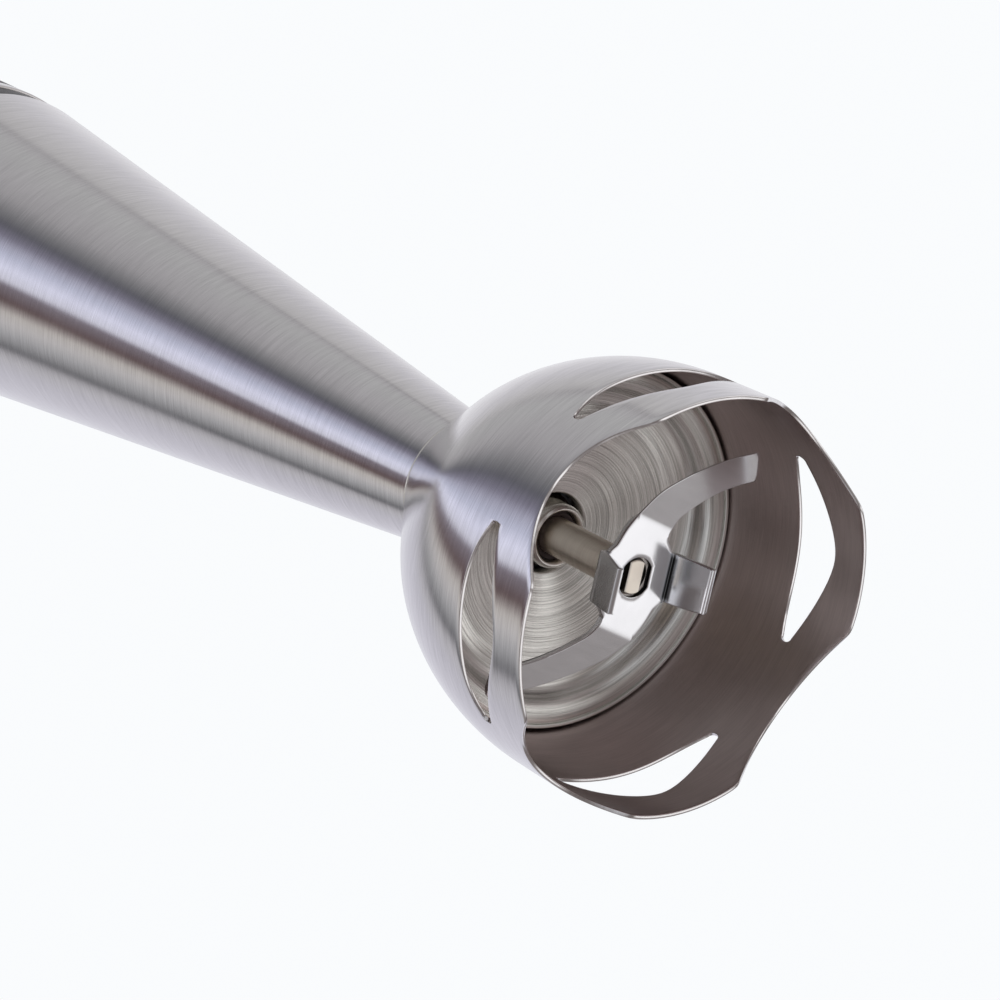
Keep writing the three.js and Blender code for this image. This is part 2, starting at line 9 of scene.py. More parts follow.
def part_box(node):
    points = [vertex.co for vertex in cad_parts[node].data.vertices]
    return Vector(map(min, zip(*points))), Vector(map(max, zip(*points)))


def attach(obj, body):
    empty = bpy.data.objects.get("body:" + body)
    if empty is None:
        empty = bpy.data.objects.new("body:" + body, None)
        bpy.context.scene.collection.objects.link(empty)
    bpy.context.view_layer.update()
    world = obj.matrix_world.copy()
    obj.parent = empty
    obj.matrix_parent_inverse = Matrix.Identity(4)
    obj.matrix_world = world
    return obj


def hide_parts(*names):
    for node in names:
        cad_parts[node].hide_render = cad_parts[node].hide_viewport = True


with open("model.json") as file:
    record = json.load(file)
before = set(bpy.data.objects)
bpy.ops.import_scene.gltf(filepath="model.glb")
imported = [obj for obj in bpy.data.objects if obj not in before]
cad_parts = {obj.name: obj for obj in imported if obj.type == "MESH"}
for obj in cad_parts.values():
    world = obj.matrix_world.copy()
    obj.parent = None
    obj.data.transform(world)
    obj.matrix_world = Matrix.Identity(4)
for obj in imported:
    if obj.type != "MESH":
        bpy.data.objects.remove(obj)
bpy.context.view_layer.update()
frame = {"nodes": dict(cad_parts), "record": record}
print("frame loaded")

mm = 0.001
degree = math.pi / 180


viewing = {
    "place": (-0.2395, -0.1507, -0.2732),
    "target": (-0.0201, -0.0136, 0.0226),
    "up": (0.17366, -0.93632, 0.30519),
    "lens": 97.56,
}


def placeCamera():
    place, target = Vector(viewing["place"]), Vector(viewing["target"])
    forward = (target - place).normalized()
    right = forward.cross(Vector(viewing["up"])).normalized()
    up = right.cross(forward)
    data = bpy.data.cameras.new("camera")
    data.lens = viewing["lens"]
    data.sensor_width = 36
    data.clip_start = 0.01
    camera = bpy.data.objects.new("camera", data)
    turn = Matrix((right, up, -forward)).transposed().to_4x4()
    camera.matrix_world = Matrix.Translation(place) @ turn
    bpy.context.scene.collection.objects.link(camera)
    bpy.context.scene.camera = camera


# Nodes are made by name; a number or colour goes straight on a socket, a socket is linked.
def addNode(tree, kind, settings=None, **sockets):
    node = tree.nodes.new(kind)
    for key, value in (settings or {}).items():
        setattr(node, key, value)
    for key, value in sockets.items():
        numbered = key[0] == "i" and key[1:].isdigit()
        socket = node.inputs[int(key[1:])] if numbered else node.inputs[key.replace("_", " ")]
        if isinstance(value, bpy.types.NodeSocket):
            tree.links.new(value, socket)
        else:
            socket.default_value = value
    return node


# A colour ramp from a list of (place, colour) stops.
def addRamp(tree, value, stops):
    ramp = addNode(tree, "ShaderNodeValToRGB", i0=value)
    marks = ramp.color_ramp.elements
    while len(marks) < len(stops):
        marks.new(0.5)
    for mark, (place, colour) in zip(marks, sorted(stops)):
        mark.position = place
        mark.color = (*colour, 1)
    return ramp.outputs[0]


def rampBetween(tree, value, low, high):
    return addRamp(tree, value, [(0.0, low), (1.0, high)])


# One step of arithmetic on numbers.
def compute(tree, operation, *values):
    inputs = {"i%d" % place: value for place, value in enumerate(values)}
    return addNode(tree, "ShaderNodeMath", {"operation": operation}, **inputs).outputs[0]


# A number from vectors: a length or a dot product.
def measure(tree, operation, *vectors):
    inputs = {"i%d" % place: vector for place, vector in enumerate(vectors)}
    return addNode(tree, "ShaderNodeVectorMath", {"operation": operation}, **inputs).outputs["Value"]


def mapBetween(tree, value, start, stop, low=0.0, high=1.0, smooth=False):
    kind = {"interpolation_type": "SMOOTHSTEP" if smooth else "LINEAR"}
    return addNode(tree, "ShaderNodeMapRange", kind, Value=value, From_Min=start, From_Max=stop,
                   To_Min=low, To_Max=high).outputs[0]


def scaleColour(tree, colour, factor):
    return addNode(tree, "ShaderNodeVectorMath", {"operation": "SCALE"}, i0=colour, Scale=factor).outputs[0]


# Soft boxes and flags round the table. The ring is seen by everything that reflects
# upwards: colour by compass angle from +X. The low panel is what the blade and the disc
# see: brightness by how far to one side of its middle they look, from -1 to 1.
studio = {
    "ring": [
        (-180, (0.19, 0.16, 0.18)),
        (-176, (0.20, 0.17, 0.20)),
        (-172, (0.72, 0.72, 0.82)),
        (-163, (0.80, 0.81, 0.97)),
        (-154, (0.56, 0.58, 0.72)),
        (-147, (0.42, 0.42, 0.52)),
        (-141, (0.22, 0.21, 0.27)),
        (-133, (0.12, 0.12, 0.14)),
        (-126, (0.20, 0.20, 0.21)),
        (-112, (0.38, 0.37, 0.38)),
        (-100, (0.43, 0.42, 0.43)),
        (-75, (0.47, 0.47, 0.47)),
        (-65, (0.45, 0.44, 0.45)),
        (-63, (0.28, 0.27, 0.28)),
        (-61, (0.51, 0.50, 0.50)),
        (-45, (0.57, 0.56, 0.57)),
        (-25, (0.64, 0.63, 0.66)),
        (0, (0.77, 0.76, 0.79)),
        (25, (0.88, 0.88, 0.91)),
        (50, (0.78, 0.78, 0.84)),
        (75, (0.69, 0.68, 0.75)),
        (105, (0.59, 0.58, 0.64)),
        (120, (0.54, 0.53, 0.56)),
        (127, (0.42, 0.41, 0.43)),
        (132, (0.13, 0.13, 0.14)),
        (138, (0.28, 0.28, 0.29)),
        (146, (0.43, 0.43, 0.44)),
        (155, (0.57, 0.55, 0.55)),
        (163, (0.56, 0.53, 0.50)),
        (167, (0.34, 0.30, 0.29)),
        (172, (0.12, 0.08, 0.08)),
    ],
    "panel": [(-0.62, 0.3), (-0.50, 0.9), (-0.33, 0.9), (-0.27, 0.16), (-0.15, 0.16), (-0.09, 0.95),
              (0.09, 0.95), (0.15, 0.16), (0.31, 0.10), (0.38, 0.05), (0.55, 0.30), (0.80, 0.0)],
    "panelCompass": 32 * degree,
    "panelDip": 49 * degree,
    "panelWidth": (0.13, 0.46),  # where it starts and ends fading, up and down
    "side": (-0.995, 0.035, 0.087),  # way towards a small low light, seen through a slot
    "sideWidth": (0.955, 0.985),
    "low": (0.20, 0.175, 0.168),
    "pale": (0.58, 0.58, 0.60),  # the low half away from the panel
    "paleFrom": (0.02, -0.40),
    "horizon": (-0.16, -0.02),  # where the low half blends into the ring
    "backdrop": (0.955, 0.97, 0.985),
    "overhead": {"watts": 26.0, "size": 2.5, "place": (-0.3, -0.6, 1.9), "tilt": -0.3},
    "floorHeight": -0.36,
    "floorSize": 60.0,
    "floorColour": (0.94, 0.945, 0.95, 1),
    "floorRoughness": 0.9,
}


def buildLight():
    world = bpy.data.worlds.new("studio")
    bpy.context.scene.world = world
    world.use_nodes = True
    tree = world.node_tree
    tree.nodes.clear()
    direction = addNode(tree, "ShaderNodeTexCoord").outputs["Generated"]
    split = addNode(tree, "ShaderNodeSeparateXYZ", i0=direction).outputs
    turn = mapBetween(tree, compute(tree, "ARCTAN2", split[1], split[0]), -math.pi, math.pi)
    stops = [((angle + 180) / 360, colour) for angle, colour in studio["ring"]]
    ring = addRamp(tree, turn, stops + [(1.0, studio["ring"][0][1])])

    c, s = math.cos(studio["panelCompass"]), math.sin(studio["panelCompass"])
    dip, rise = math.sin(studio["panelDip"]), math.cos(studio["panelDip"])
    sideways = measure(tree, "DOT_PRODUCT", direction, (-s, c, 0.0))
    upwards = measure(tree, "DOT_PRODUCT", direction, (c * dip, s * dip, rise))
    ahead = measure(tree, "DOT_PRODUCT", direction, (c, s, 0.0))
    aside = measure(tree, "DOT_PRODUCT", direction, studio["side"])
    along = mapBetween(tree, sideways, -1.0, 1.0)
    panel = addRamp(tree, along, [(place / 2 + 0.5, (v, v, v)) for place, v in studio["panel"]])
    height = compute(tree, "ABSOLUTE", upwards)
    narrow = mapBetween(tree, height, *studio["panelWidth"], 1.0, 0.0, smooth=True)
    beside = mapBetween(tree, aside, *studio["sideWidth"], smooth=True)
    glow = scaleColour(tree, panel, narrow)
    paler = mapBetween(tree, ahead, *studio["paleFrom"])
    base = rampBetween(tree, paler, studio["low"], studio["pale"])
    low = addNode(tree, "ShaderNodeVectorMath", {"operation": "ADD"}, i0=glow, i1=base)

    above = mapBetween(tree, split[2], *studio["horizon"], smooth=True)
    both = addNode(tree, "ShaderNodeMix", {"data_type": "VECTOR"}, Factor=above)
    tree.links.new(low.outputs[0], both.inputs[4])
    tree.links.new(ring, both.inputs[5])
    whole = addNode(tree, "ShaderNodeVectorMath", {"operation": "ADD"}, i0=both.outputs[1], i1=beside)
    studioLight = addNode(tree, "ShaderNodeBackground", Color=whole.outputs[0])
    backdrop = addNode(tree, "ShaderNodeBackground", Color=(*studio["backdrop"], 1))
    path = addNode(tree, "ShaderNodeLightPath")
    mix = addNode(tree, "ShaderNodeMixShader", i0=path.outputs["Is Camera Ray"],
                  i1=studioLight.outputs[0], i2=backdrop.outputs[0])
    addNode(tree, "ShaderNodeOutputWorld", Surface=mix.outputs[0])

    look = studio["overhead"]
    lamp = bpy.data.lights.new("overhead", "AREA")
    lamp.shape = "DISK"
    lamp.size = look["size"]
    lamp.energy = look["watts"]
    overhead = bpy.data.objects.new("overhead", lamp)
    overhead.location = look["place"]
    overhead.rotation_euler = (look["tilt"], 0, 0)
    overhead.visible_glossy = False  # it fills shadows and leaves no highlight of its own
    overhead.visible_camera = False
    bpy.context.scene.collection.objects.link(overhead)


def buildFloor():
    half = studio["floorSize"] / 2
    mesh = bpy.data.meshes.new("floor")
    square = ((-1, -1), (1, -1), (1, 1), (-1, 1))
    corners = [(x * half, y * half, studio["floorHeight"]) for x, y in square]
    mesh.from_pydata(corners, [], [(0, 1, 2, 3)])
    floor = bpy.data.objects.new("floor", mesh)
    bpy.context.scene.collection.objects.link(floor)
    material = bpy.data.materials.new("floor_paper")
    material.use_nodes = True
    shader = material.node_tree.nodes["Principled BSDF"]
    shader.inputs["Base Color"].default_value = studio["floorColour"]
    shader.inputs["Roughness"].default_value = studio["floorRoughness"]
    mesh.materials.append(material)
    floor.visible_glossy = False  # metal sees the studio's own lower half instead


bpy.context.scene.view_settings.view_transform = "Standard"
placeCamera()
buildLight()
buildFloor()
print("camera and light set")


def newFinish(name, colour, roughness, metallic):
    material = bpy.data.materials.new(name)
    material.use_nodes = True
    tree = material.node_tree
    shader = tree.nodes["Principled BSDF"]
    shader.inputs["Base Color"].default_value = (*colour, 1)
    shader.inputs["Roughness"].default_value = roughness
    shader.inputs["Metallic"].default_value = metallic
    place = addNode(tree, "ShaderNodeTexCoord").outputs["Object"]
    return material, tree, shader, place


def noiseAt(tree, place, detail, scale=1.0):
    return addNode(tree, "ShaderNodeTexNoise", Vector=place, Scale=scale, Detail=detail).outputs[0]


# Fine lines: noise squeezed hard along one direction and stretched along the others.
def lineNoise(tree, place, scale, detail=3.0):
    squeezed = addNode(tree, "ShaderNodeMapping", Vector=place, Scale=scale)
    return noiseAt(tree, squeezed.outputs[0], detail)


def axisDistance(tree, place):
    flat = addNode(tree, "ShaderNodeVectorMath", {"operation": "MULTIPLY"}, i0=place, i1=(1, 1, 0))
    return measure(tree, "LENGTH", flat.outputs[0])


# Distance from the blender's axis as a texture coordinate, so lines run in circles.
def circleCoordinate(tree, place, across, along):
    split = addNode(tree, "ShaderNodeSeparateXYZ", i0=place).outputs
    parts = [(axisDistance(tree, place), across), (split[0], along), (split[1], along)]
    scaled = [compute(tree, "MULTIPLY", value, scale) for value, scale in parts]
    return addNode(tree, "ShaderNodeCombineXYZ", i0=scaled[0], i1=scaled[1], i2=scaled[2]).outputs[0]


def steel(colour, roughness, anisotropy, lines, contrast):
    return {"colour": colour, "roughness": roughness, "anisotropy": anisotropy, "lines": lines,
            "contrast": contrast}


steelLook = {
    "outer": steel((0.80, 0.79, 0.80), 0.13, 0.6, 0.04, 0.12),
    # The inner look's darker, browner colour is painted shade inside the bell.
    "inner": steel((0.58, 0.50, 0.49), 0.30, 0.5, 0.03, 0.10),
    "disc": steel((0.84, 0.84, 0.80), 0.24, 0.9, 0.24, 0.42),
    "blade": steel((0.82, 0.83, 0.86), 0.15, 0.2, 0.015, 0.05),
    # The shaft look's near-white warm colour is painted light, set lighter than plain steel.
    "shaft": steel((0.98, 0.90, 0.80), 0.34, 0.5, 0.03, 0.08),
}

# How tight the brushed lines lie: rings as (across, along), wall lines along X, Y and Z.
brushing = {
    "fineRings": (5200, 60),
    "broadRings": (1500, 40),
    "fineLines": (190, 190, 5600),
    "broadLines": (120, 120, 1500),
    "broadShare": 0.45,
    "cloud": 38.0,
    "depth": 0.0002,
}


# Brushed or spun steel. `circles` puts the lines on a flat disc as rings round the axis,
# otherwise they run round the wall of a turned part.
def brushedSteel(name, look, circles=False):
    material, tree, shader, place = newFinish(name, look["colour"], look["roughness"], 1.0)
    if circles:
        fine = noiseAt(tree, circleCoordinate(tree, place, *brushing["fineRings"]), 3.0)
        broad = noiseAt(tree, circleCoordinate(tree, place, *brushing["broadRings"]), 2.0)
    else:
        fine = lineNoise(tree, place, brushing["fineLines"])
        broad = lineNoise(tree, place, brushing["broadLines"], 2.0)
    cloud = noiseAt(tree, place, 2.0, brushing["cloud"])
    both = compute(tree, "MULTIPLY_ADD", broad, brushing["broadShare"], fine)
    dark = tuple((1 - look["contrast"]) * c for c in look["colour"])
    light = tuple(min(1.0, (1 + look["contrast"] / 2) * c) for c in look["colour"])
    shade = mapBetween(tree, both, 0.5, 0.95)
    tree.links.new(rampBetween(tree, shade, dark, light), shader.inputs["Base Color"])
    roughness = look["roughness"]
    rough = mapBetween(tree, cloud, 0.3, 0.7, roughness - 0.02, roughness + 0.03)
    tree.links.new(rough, shader.inputs["Roughness"])
    bump = addNode(tree, "ShaderNodeBump", Height=both, Strength=look["lines"], Distance=brushing["depth"])
    tree.links.new(bump.outputs[0], shader.inputs["Normal"])
    tangent = addNode(tree, "ShaderNodeTangent", {"direction_type": "RADIAL", "axis": "Z"})
    tree.links.new(tangent.outputs[0], shader.inputs["Tangent"])
    shader.inputs["Anisotropic"].default_value = look["anisotropy"]
    shader.inputs["Anisotropic Rotation"].default_value = 0.25
    return material


# Multiplies a metal's colour down to `least` where the mask is 1.
def dimWhere(material, mask, least):
    tree = material.node_tree
    base = tree.nodes["Principled BSDF"].inputs["Base Color"]
    dim = mapBetween(tree, mask, 0.0, 1.0, 1.0, least)
    tree.links.new(scaleColour(tree, base.links[0].from_socket, dim), base)


# Shade inside the blade's hole: near the axis, between two heights (all in mm).
def shadeHole(material, radius, low, high):
    tree = material.node_tree
    place = addNode(tree, "ShaderNodeTexCoord").outputs["Object"]
    height = addNode(tree, "ShaderNodeSeparateXYZ", i0=place).outputs[2]
    level = compute(tree, "COMPARE", height, (low + high) / 2 * mm, (high - low) / 2 * mm)
    near = compute(tree, "LESS_THAN", axisDistance(tree, place), radius * mm)
    dimWhere(material, compute(tree, "MULTIPLY", level, near), 0.12)


# Shade in the groove at a tab's root: a strip `out` from the axis along the tabs' direction.
def shadeCrease(material, out, width, across, turn):
    tree = material.node_tree
    place = addNode(tree, "ShaderNodeTexCoord").outputs["Object"]
    c, s = math.cos(turn), math.sin(turn)
    inside = []
    for along, middle, span in (((c, s, 0), out, width), ((-s, c, 0), 0, across)):
        size = compute(tree, "ABSOLUTE", measure(tree, "DOT_PRODUCT", place, along))
        away = compute(tree, "ABSOLUTE", compute(tree, "SUBTRACT", size, middle * mm))
        half = span / 2 * mm
        inside.append(mapBetween(tree, away, half * 0.75, half, 1.0, 0.0))
    dimWhere(material, compute(tree, "MULTIPLY", *inside), 0.16)


# Moulded plastic or rubber: a fine pebble grain in bump and a little mottling.
def mouldedFinish(name, colour, roughness, grain, depth):
    material, tree, shader, place = newFinish(name, colour, roughness, 0.0)
    pebble = noiseAt(tree, place, 2.0, grain)
    cloud = noiseAt(tree, place, 3.0, 60.0)
    dark = tuple(0.82 * c for c in colour)
    light = tuple(1.18 * c for c in colour)
    tree.links.new(rampBetween(tree, cloud, dark, light), shader.inputs["Base Color"])
    bump = addNode(tree, "ShaderNodeBump", Height=pebble, Strength=depth, Distance=0.0001)
    tree.links.new(bump.outputs[0], shader.inputs["Normal"])
    rough = mapBetween(tree, cloud, 0.0, 1.0, roughness - 0.05, roughness + 0.07)
    tree.links.new(rough, shader.inputs["Roughness"])
    return material


# Plain metal parts inside: turned, cast, stacked or wound, by the direction of their lines.
def workedMetal(name, colour, roughness, lines, strength):
    material, tree, shader, place = newFinish(name, colour, roughness, 1.0)
    marks = lineNoise(tree, place, lines)
    dark = tuple(0.7 * c for c in colour)
    light = tuple(min(1.0, 1.1 * c) for c in colour)
    tree.links.new(rampBetween(tree, marks, dark, light), shader.inputs["Base Color"])
    bump = addNode(tree, "ShaderNodeBump", Height=marks, Strength=strength, Distance=0.0002)
    tree.links.new(bump.outputs[0], shader.inputs["Normal"])
    return material


finishes = {
    "brushed_steel": brushedSteel("outer_steel", steelLook["outer"]),
    # inner_steel's darker, browner colour is painted shade on the bell's inner wall.
    "inner_steel": brushedSteel("inner_steel", steelLook["inner"]),
    "spun_steel": brushedSteel("spun_steel", steelLook["disc"], circles=True),
    "blade_steel": brushedSteel("blade_steel", steelLook["blade"]),
    "shaft_steel": brushedSteel("shaft_steel", steelLook["shaft"]),
    "bearing_steel": workedMetal("bearing_steel", (0.62, 0.62, 0.63), 0.3, (200, 200, 3000), 0.1),
    "bush_metal": workedMetal("bush_metal", (0.80, 0.78, 0.74), 0.22, (200, 200, 3000), 0.06),
    "rubber": mouldedFinish("rubber", (0.022, 0.022, 0.024), 0.72, 1500.0, 0.5),
    "seal_rubber": mouldedFinish("seal_rubber", (0.045, 0.028, 0.026), 0.6, 1500.0, 0.5),
    "dark_plastic": mouldedFinish("dark_plastic", (0.030, 0.030, 0.034), 0.42, 2600.0, 0.35),
    "grey_plastic": mouldedFinish("grey_plastic", (0.26, 0.265, 0.275), 0.36, 2600.0, 0.2),
    "black_plastic": mouldedFinish("black_plastic", (0.02, 0.02, 0.02), 0.5, 2000.0, 0.3),
    "nylon": mouldedFinish("nylon", (0.72, 0.70, 0.63), 0.4, 2200.0, 0.2),
    "cast_alloy": workedMetal("cast_alloy", (0.5, 0.51, 0.52), 0.5, (900, 900, 900), 0.25),
    "lamination": workedMetal("lamination", (0.3, 0.31, 0.33), 0.45, (30, 30, 4000), 0.6),
    "copper_wire": workedMetal("copper_wire", (0.6, 0.26, 0.12), 0.35, (60, 2500, 2500), 0.7),
    "copper_bar": workedMetal("copper_bar", (0.7, 0.38, 0.22), 0.3, (200, 200, 3500), 0.1),
    "brass": workedMetal("brass", (0.66, 0.52, 0.25), 0.3, (1200, 200, 1200), 0.1),
    "circuit_board": mouldedFinish("circuit_board", (0.03, 0.16, 0.07), 0.35, 500.0, 0.2),
}
print("finishes made")


# Quads of a grid, row by row; `around` closes each row on itself, `loop` closes the rows.
def gridFaces(rows, columns, around=False, loop=False):
    r = np.arange(rows if loop else rows - 1)[:, None]
    c = np.arange(columns if around else columns - 1)[None, :]
    rNext, cNext = (r + 1) % rows, (c + 1) % columns
    quads = [r * columns + c, r * columns + cNext, rNext * columns + cNext, rNext * columns + c]
    return np.stack(np.broadcast_arrays(*quads), -1).reshape(-1, 4)


# Joins several (points, faces) grids into one pair of arrays.
def stackGrids(grids):
    points, faces, start = [], [], 0
    for gridPoints, gridQuads in grids:
        points.append(gridPoints)
        faces.append(gridQuads + start)
        start += len(gridPoints)
    return np.concatenate(points), np.concatenate(faces)


def applyModifiers(piece):
    graph = bpy.context.evaluated_depsgraph_get()
    mesh = bpy.data.meshes.new_from_object(piece.evaluated_get(graph))
    piece.modifiers.clear()
    piece.data = mesh


# Makes a sheet thinner towards a line of points, as a ground edge: full thickness at `width`
# from the line and `share` of it on the line.
def thinTowards(piece, solid, line, width, share):
    spots = np.empty(3 * len(piece.data.vertices))
    piece.data.vertices.foreach_get("co", spots)
    spots = spots.reshape(-1, 3)[:, :2] / mm
    distance = np.min(np.linalg.norm(spots[:, None] - line[None], axis=-1), axis=1)
    weight = np.round(share + (1 - share) * np.clip(distance / width, 0, 1), 2)
    group = piece.vertex_groups.new(name="thickness")
    for value in np.unique(weight):
        group.add(np.flatnonzero(weight == value).tolist(), float(value), "REPLACE")
    solid.vertex_group = group.name


# Puts the points (in mm) into a mesh, welds shared points, and gives the piece its wall,
# its broken edges, its finish, its body and the CAD nodes that it stands for.
def addPiece(name, points, faces, body, slot, nodes=(), wall=0.0, bevel=0.0, sharp=32, finish=None,
             ground=None):
    mesh = bpy.data.meshes.new(name)
    mesh.from_pydata((points * mm).tolist(), [], faces.tolist())
    edit = bmesh.new()
    edit.from_mesh(mesh)
    bmesh.ops.remove_doubles(edit, verts=edit.verts, dist=2e-6)
    edit.to_mesh(mesh)
    edit.free()
    piece = bpy.data.objects.new(name, mesh)
    bpy.context.scene.collection.objects.link(piece)
    if wall:
        solid = piece.modifiers.new("wall", "SOLIDIFY")
        solid.thickness = wall * mm
        solid.offset = -1
        solid.use_even_offset = True
        solid.material_offset = 0
        if ground is not None:
            thinTowards(piece, solid, *ground)
    if bevel:
        edges = piece.modifiers.new("edges", "BEVEL")
        edges.width = bevel * mm
        edges.segments = 2
        edges.limit_method = "ANGLE"
        edges.angle_limit = sharp * degree
        edges.use_clamp_overlap = False
    if wall or bevel:
        applyModifiers(piece)
    piece.data.shade_smooth()
    piece.data.set_sharp_from_angle(angle=sharp * degree)
    piece.data.materials.append(finish or finishes[slot])
    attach(piece, body)
    if nodes:
        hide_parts(*nodes)
    return piece


# Rounds the corners of a polyline: a corner (x, y, size) becomes a short quadratic curve
# that leaves the straight lines `size` before and after it.
def roundedLine(corners, steps=5, closed=False):
    path = np.array([(c[0], c[1]) for c in corners], float)
    sizes = [c[2] if len(c) > 2 else 0.0 for c in corners]
    line = []
    count = len(path)
    for i in range(count):
        if sizes[i] == 0 or (not closed and i in (0, count - 1)):
            line.append(path[i][None])
            continue
        before, after = path[i - 1] - path[i], path[(i + 1) % count] - path[i]
        start = path[i] + before / np.linalg.norm(before) * sizes[i]
        end = path[i] + after / np.linalg.norm(after) * sizes[i]
        t = np.linspace(0, 1, steps + 1)[:, None]
        line.append((1 - t) ** 2 * start + 2 * t * (1 - t) * path[i] + t ** 2 * end)
    return np.concatenate(line)


# A profile of (radius, z) turned about an upright axis: x = r cos a, y = r sin a. It runs
# up the outside. A closed profile ends where it starts; an open one ends on the axis.
def turned(profile, segments=128, closed=True, centre=(0.0, 0.0)):
    profile = np.asarray(profile, float)
    angle = np.linspace(0, 2 * math.pi, segments, endpoint=False)
    r, z = profile[:, :1], profile[:, 1:]
    x = centre[0] + r * np.cos(angle)
    y = centre[1] + r * np.sin(angle)
    points = np.stack([x, y, np.broadcast_to(z, x.shape)], -1).reshape(-1, 3)
    return points, gridFaces(len(profile), segments, around=True, loop=closed)


# A smooth curve through points: cubic segments with slopes taken from the neighbours.
def smoothCurve(points, count):
    points = np.asarray(points, float)
    length = np.r_[0, np.cumsum(np.linalg.norm(np.diff(points, axis=0), axis=1))]
    slope = np.gradient(points, length, axis=0)
    at = np.linspace(0, length[-1], count)
    i = np.clip(np.searchsorted(length, at, side="right") - 1, 0, len(points) - 2)
    step = (length[i + 1] - length[i])[:, None]
    t = (at[:, None] - length[i][:, None]) / step
    return ((2 * t ** 3 - 3 * t ** 2 + 1) * points[i] + (t ** 3 - 2 * t ** 2 + t) * step * slope[i]
            + (3 * t ** 2 - 2 * t ** 3) * points[i + 1] + (t ** 3 - t ** 2) * step * slope[i + 1])


bell = {
    "radius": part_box("bell_guard")[1][0] / mm,
    "sheet": 0.62,
    "straight": 14.7,  # height of the cylinder before the wall turns in
    "arc": 48.4,
    "turn": 35.5 * degree,
    "neck": 11.18,
    "lobes": 4,
    "scallopRadius": 21.5,
    "scallopDepth": 5.5,
    "cornerSoftness": 0.7,
    "slotPoint": 5.0,
    "slotSlope": 0.375,
    "slotBlunt": 3.2,
    "slotTop": 14.5,
    "slotDroop": (2.33e-5, 4.15),
    "tip": (14.75, 0.8),
    "bead": (0.17, -0.02, 0.05),  # its size, and its centre out and up from the neck's edge
}


def bellRadiusAt(z):
    arcHeight = bell["arc"] * math.sin(bell["turn"])
    climb = np.clip(z - bell["straight"], 0, arcHeight)
    r = bell["radius"] - bell["arc"] + np.sqrt(bell["arc"] ** 2 - climb ** 2)
    return r - math.tan(bell["turn"]) * np.clip(z - bell["straight"] - arcHeight, 0, None)


# Lower and upper slot edges over x, the distance along the rim from the lobe's middle:
# a blunt V below, a drooping line above, and a round end past the tip's centre.
def slotEdges(x):
    x = np.abs(x)
    centre, size = bell["tip"]
    droop, power = bell["slotDroop"]
    def low(at):
        return bell["slotPoint"] + bell["slotSlope"] * np.sqrt(at ** 2 + bell["slotBlunt"] ** 2)
    def high(at):
        return bell["slotTop"] - droop * at ** power
    inner = np.minimum(x, centre)
    middle = (low(centre) + high(centre)) / 2
    half = (high(centre) - low(centre)) / 2
    past = np.sqrt(np.clip(1 - ((x - centre) / size) ** 2, 0, 1)) * half
    atEnd = x > centre
    return np.where(atEnd, middle - past, low(inner)), np.where(atEnd, middle + past, high(inner))


# Rim height: flat on the lobes, an arc in the scallops, with a soft corner between.
def rimHeight(turn):
    across = bell["radius"] * np.sin(math.pi / bell["lobes"] - np.abs(turn))
    root = bell["scallopRadius"]
    rise = np.sqrt(np.clip(root ** 2 - across ** 2, 0, None)) - root + bell["scallopDepth"]
    return 0.5 * (rise + np.sqrt(rise ** 2 + bell["cornerSoftness"] ** 2)) - 0.01


# One quarter of the bell is two grids, below and above the slot, which meet beyond its ends.
def buildBell():
    radius = bell["radius"]
    centre, size = bell["tip"]
    endTurns = np.arcsin((centre + size * np.sin(np.linspace(0, math.pi / 2, 7))) / radius)
    half = np.r_[np.linspace(0, endTurns[0], 34)[:-1], endTurns,
                 np.linspace(endTurns[-1], math.pi / bell["lobes"], 20)[1:]]
    turn = np.r_[-half[:0:-1], half]
    slotLow, slotHigh = slotEdges(radius * np.sin(turn))
    rim = rimHeight(turn)
    top = bell["straight"] + bell["arc"] * math.sin(bell["turn"])
    top += (bellRadiusAt(np.array([top]))[0] - bell["neck"]) / math.tan(bell["turn"])
    grids = []
    for low, high, rows in ((rim, slotLow, 10), (slotHigh, np.full_like(turn, top), 56)):
        z = low + (high - low) * np.linspace(0, 1, rows)[:, None]
        r = bellRadiusAt(z)
        for i in range(bell["lobes"]):
            angle = turn + i * 2 * math.pi / bell["lobes"]
            points = np.stack([r * np.cos(angle), r * np.sin(angle), z], -1).reshape(-1, 3)
            grids.append((points, gridFaces(rows, len(turn))))
    points, faces = stackGrids(grids)
    piece = addPiece("bell", points, faces, "leg", "brushed_steel", ["bell_guard"], wall=bell["sheet"],
                     bevel=0.08)
    paintInsideShade(piece)
    # Bead that closes the seam between the bell's neck and the tube.
    turn = np.linspace(0, 2 * math.pi, 13)[:-1]
    size, out, up = bell["bead"]
    bead = np.stack([bell["neck"] + out + size * np.cos(turn), top + up + size * np.sin(turn)], -1)
    points, faces = turned(bead, 160)
    addPiece("neck_bead", points, faces, "leg", "brushed_steel", finish=finishes["bush_metal"])


# The inner wall gets the duller inner steel, whose darker, browner colour is painted shade: faces whose
# normal looks at the axis.
def paintInsideShade(piece):
    mesh = piece.data
    mesh.materials.append(finishes["inner_steel"])
    count = len(mesh.polygons)
    normal, middle = np.empty(count * 3), np.empty(count * 3)
    mesh.polygons.foreach_get("normal", normal)
    mesh.polygons.foreach_get("center", middle)
    normal, middle = normal.reshape(-1, 3), middle.reshape(-1, 3)
    outwards = (normal[:, :2] * middle[:, :2]).sum(1) / np.linalg.norm(middle[:, :2], axis=1)
    mesh.polygons.foreach_set("material_index", (outwards < -0.35).astype(np.int32))
    mesh.update()


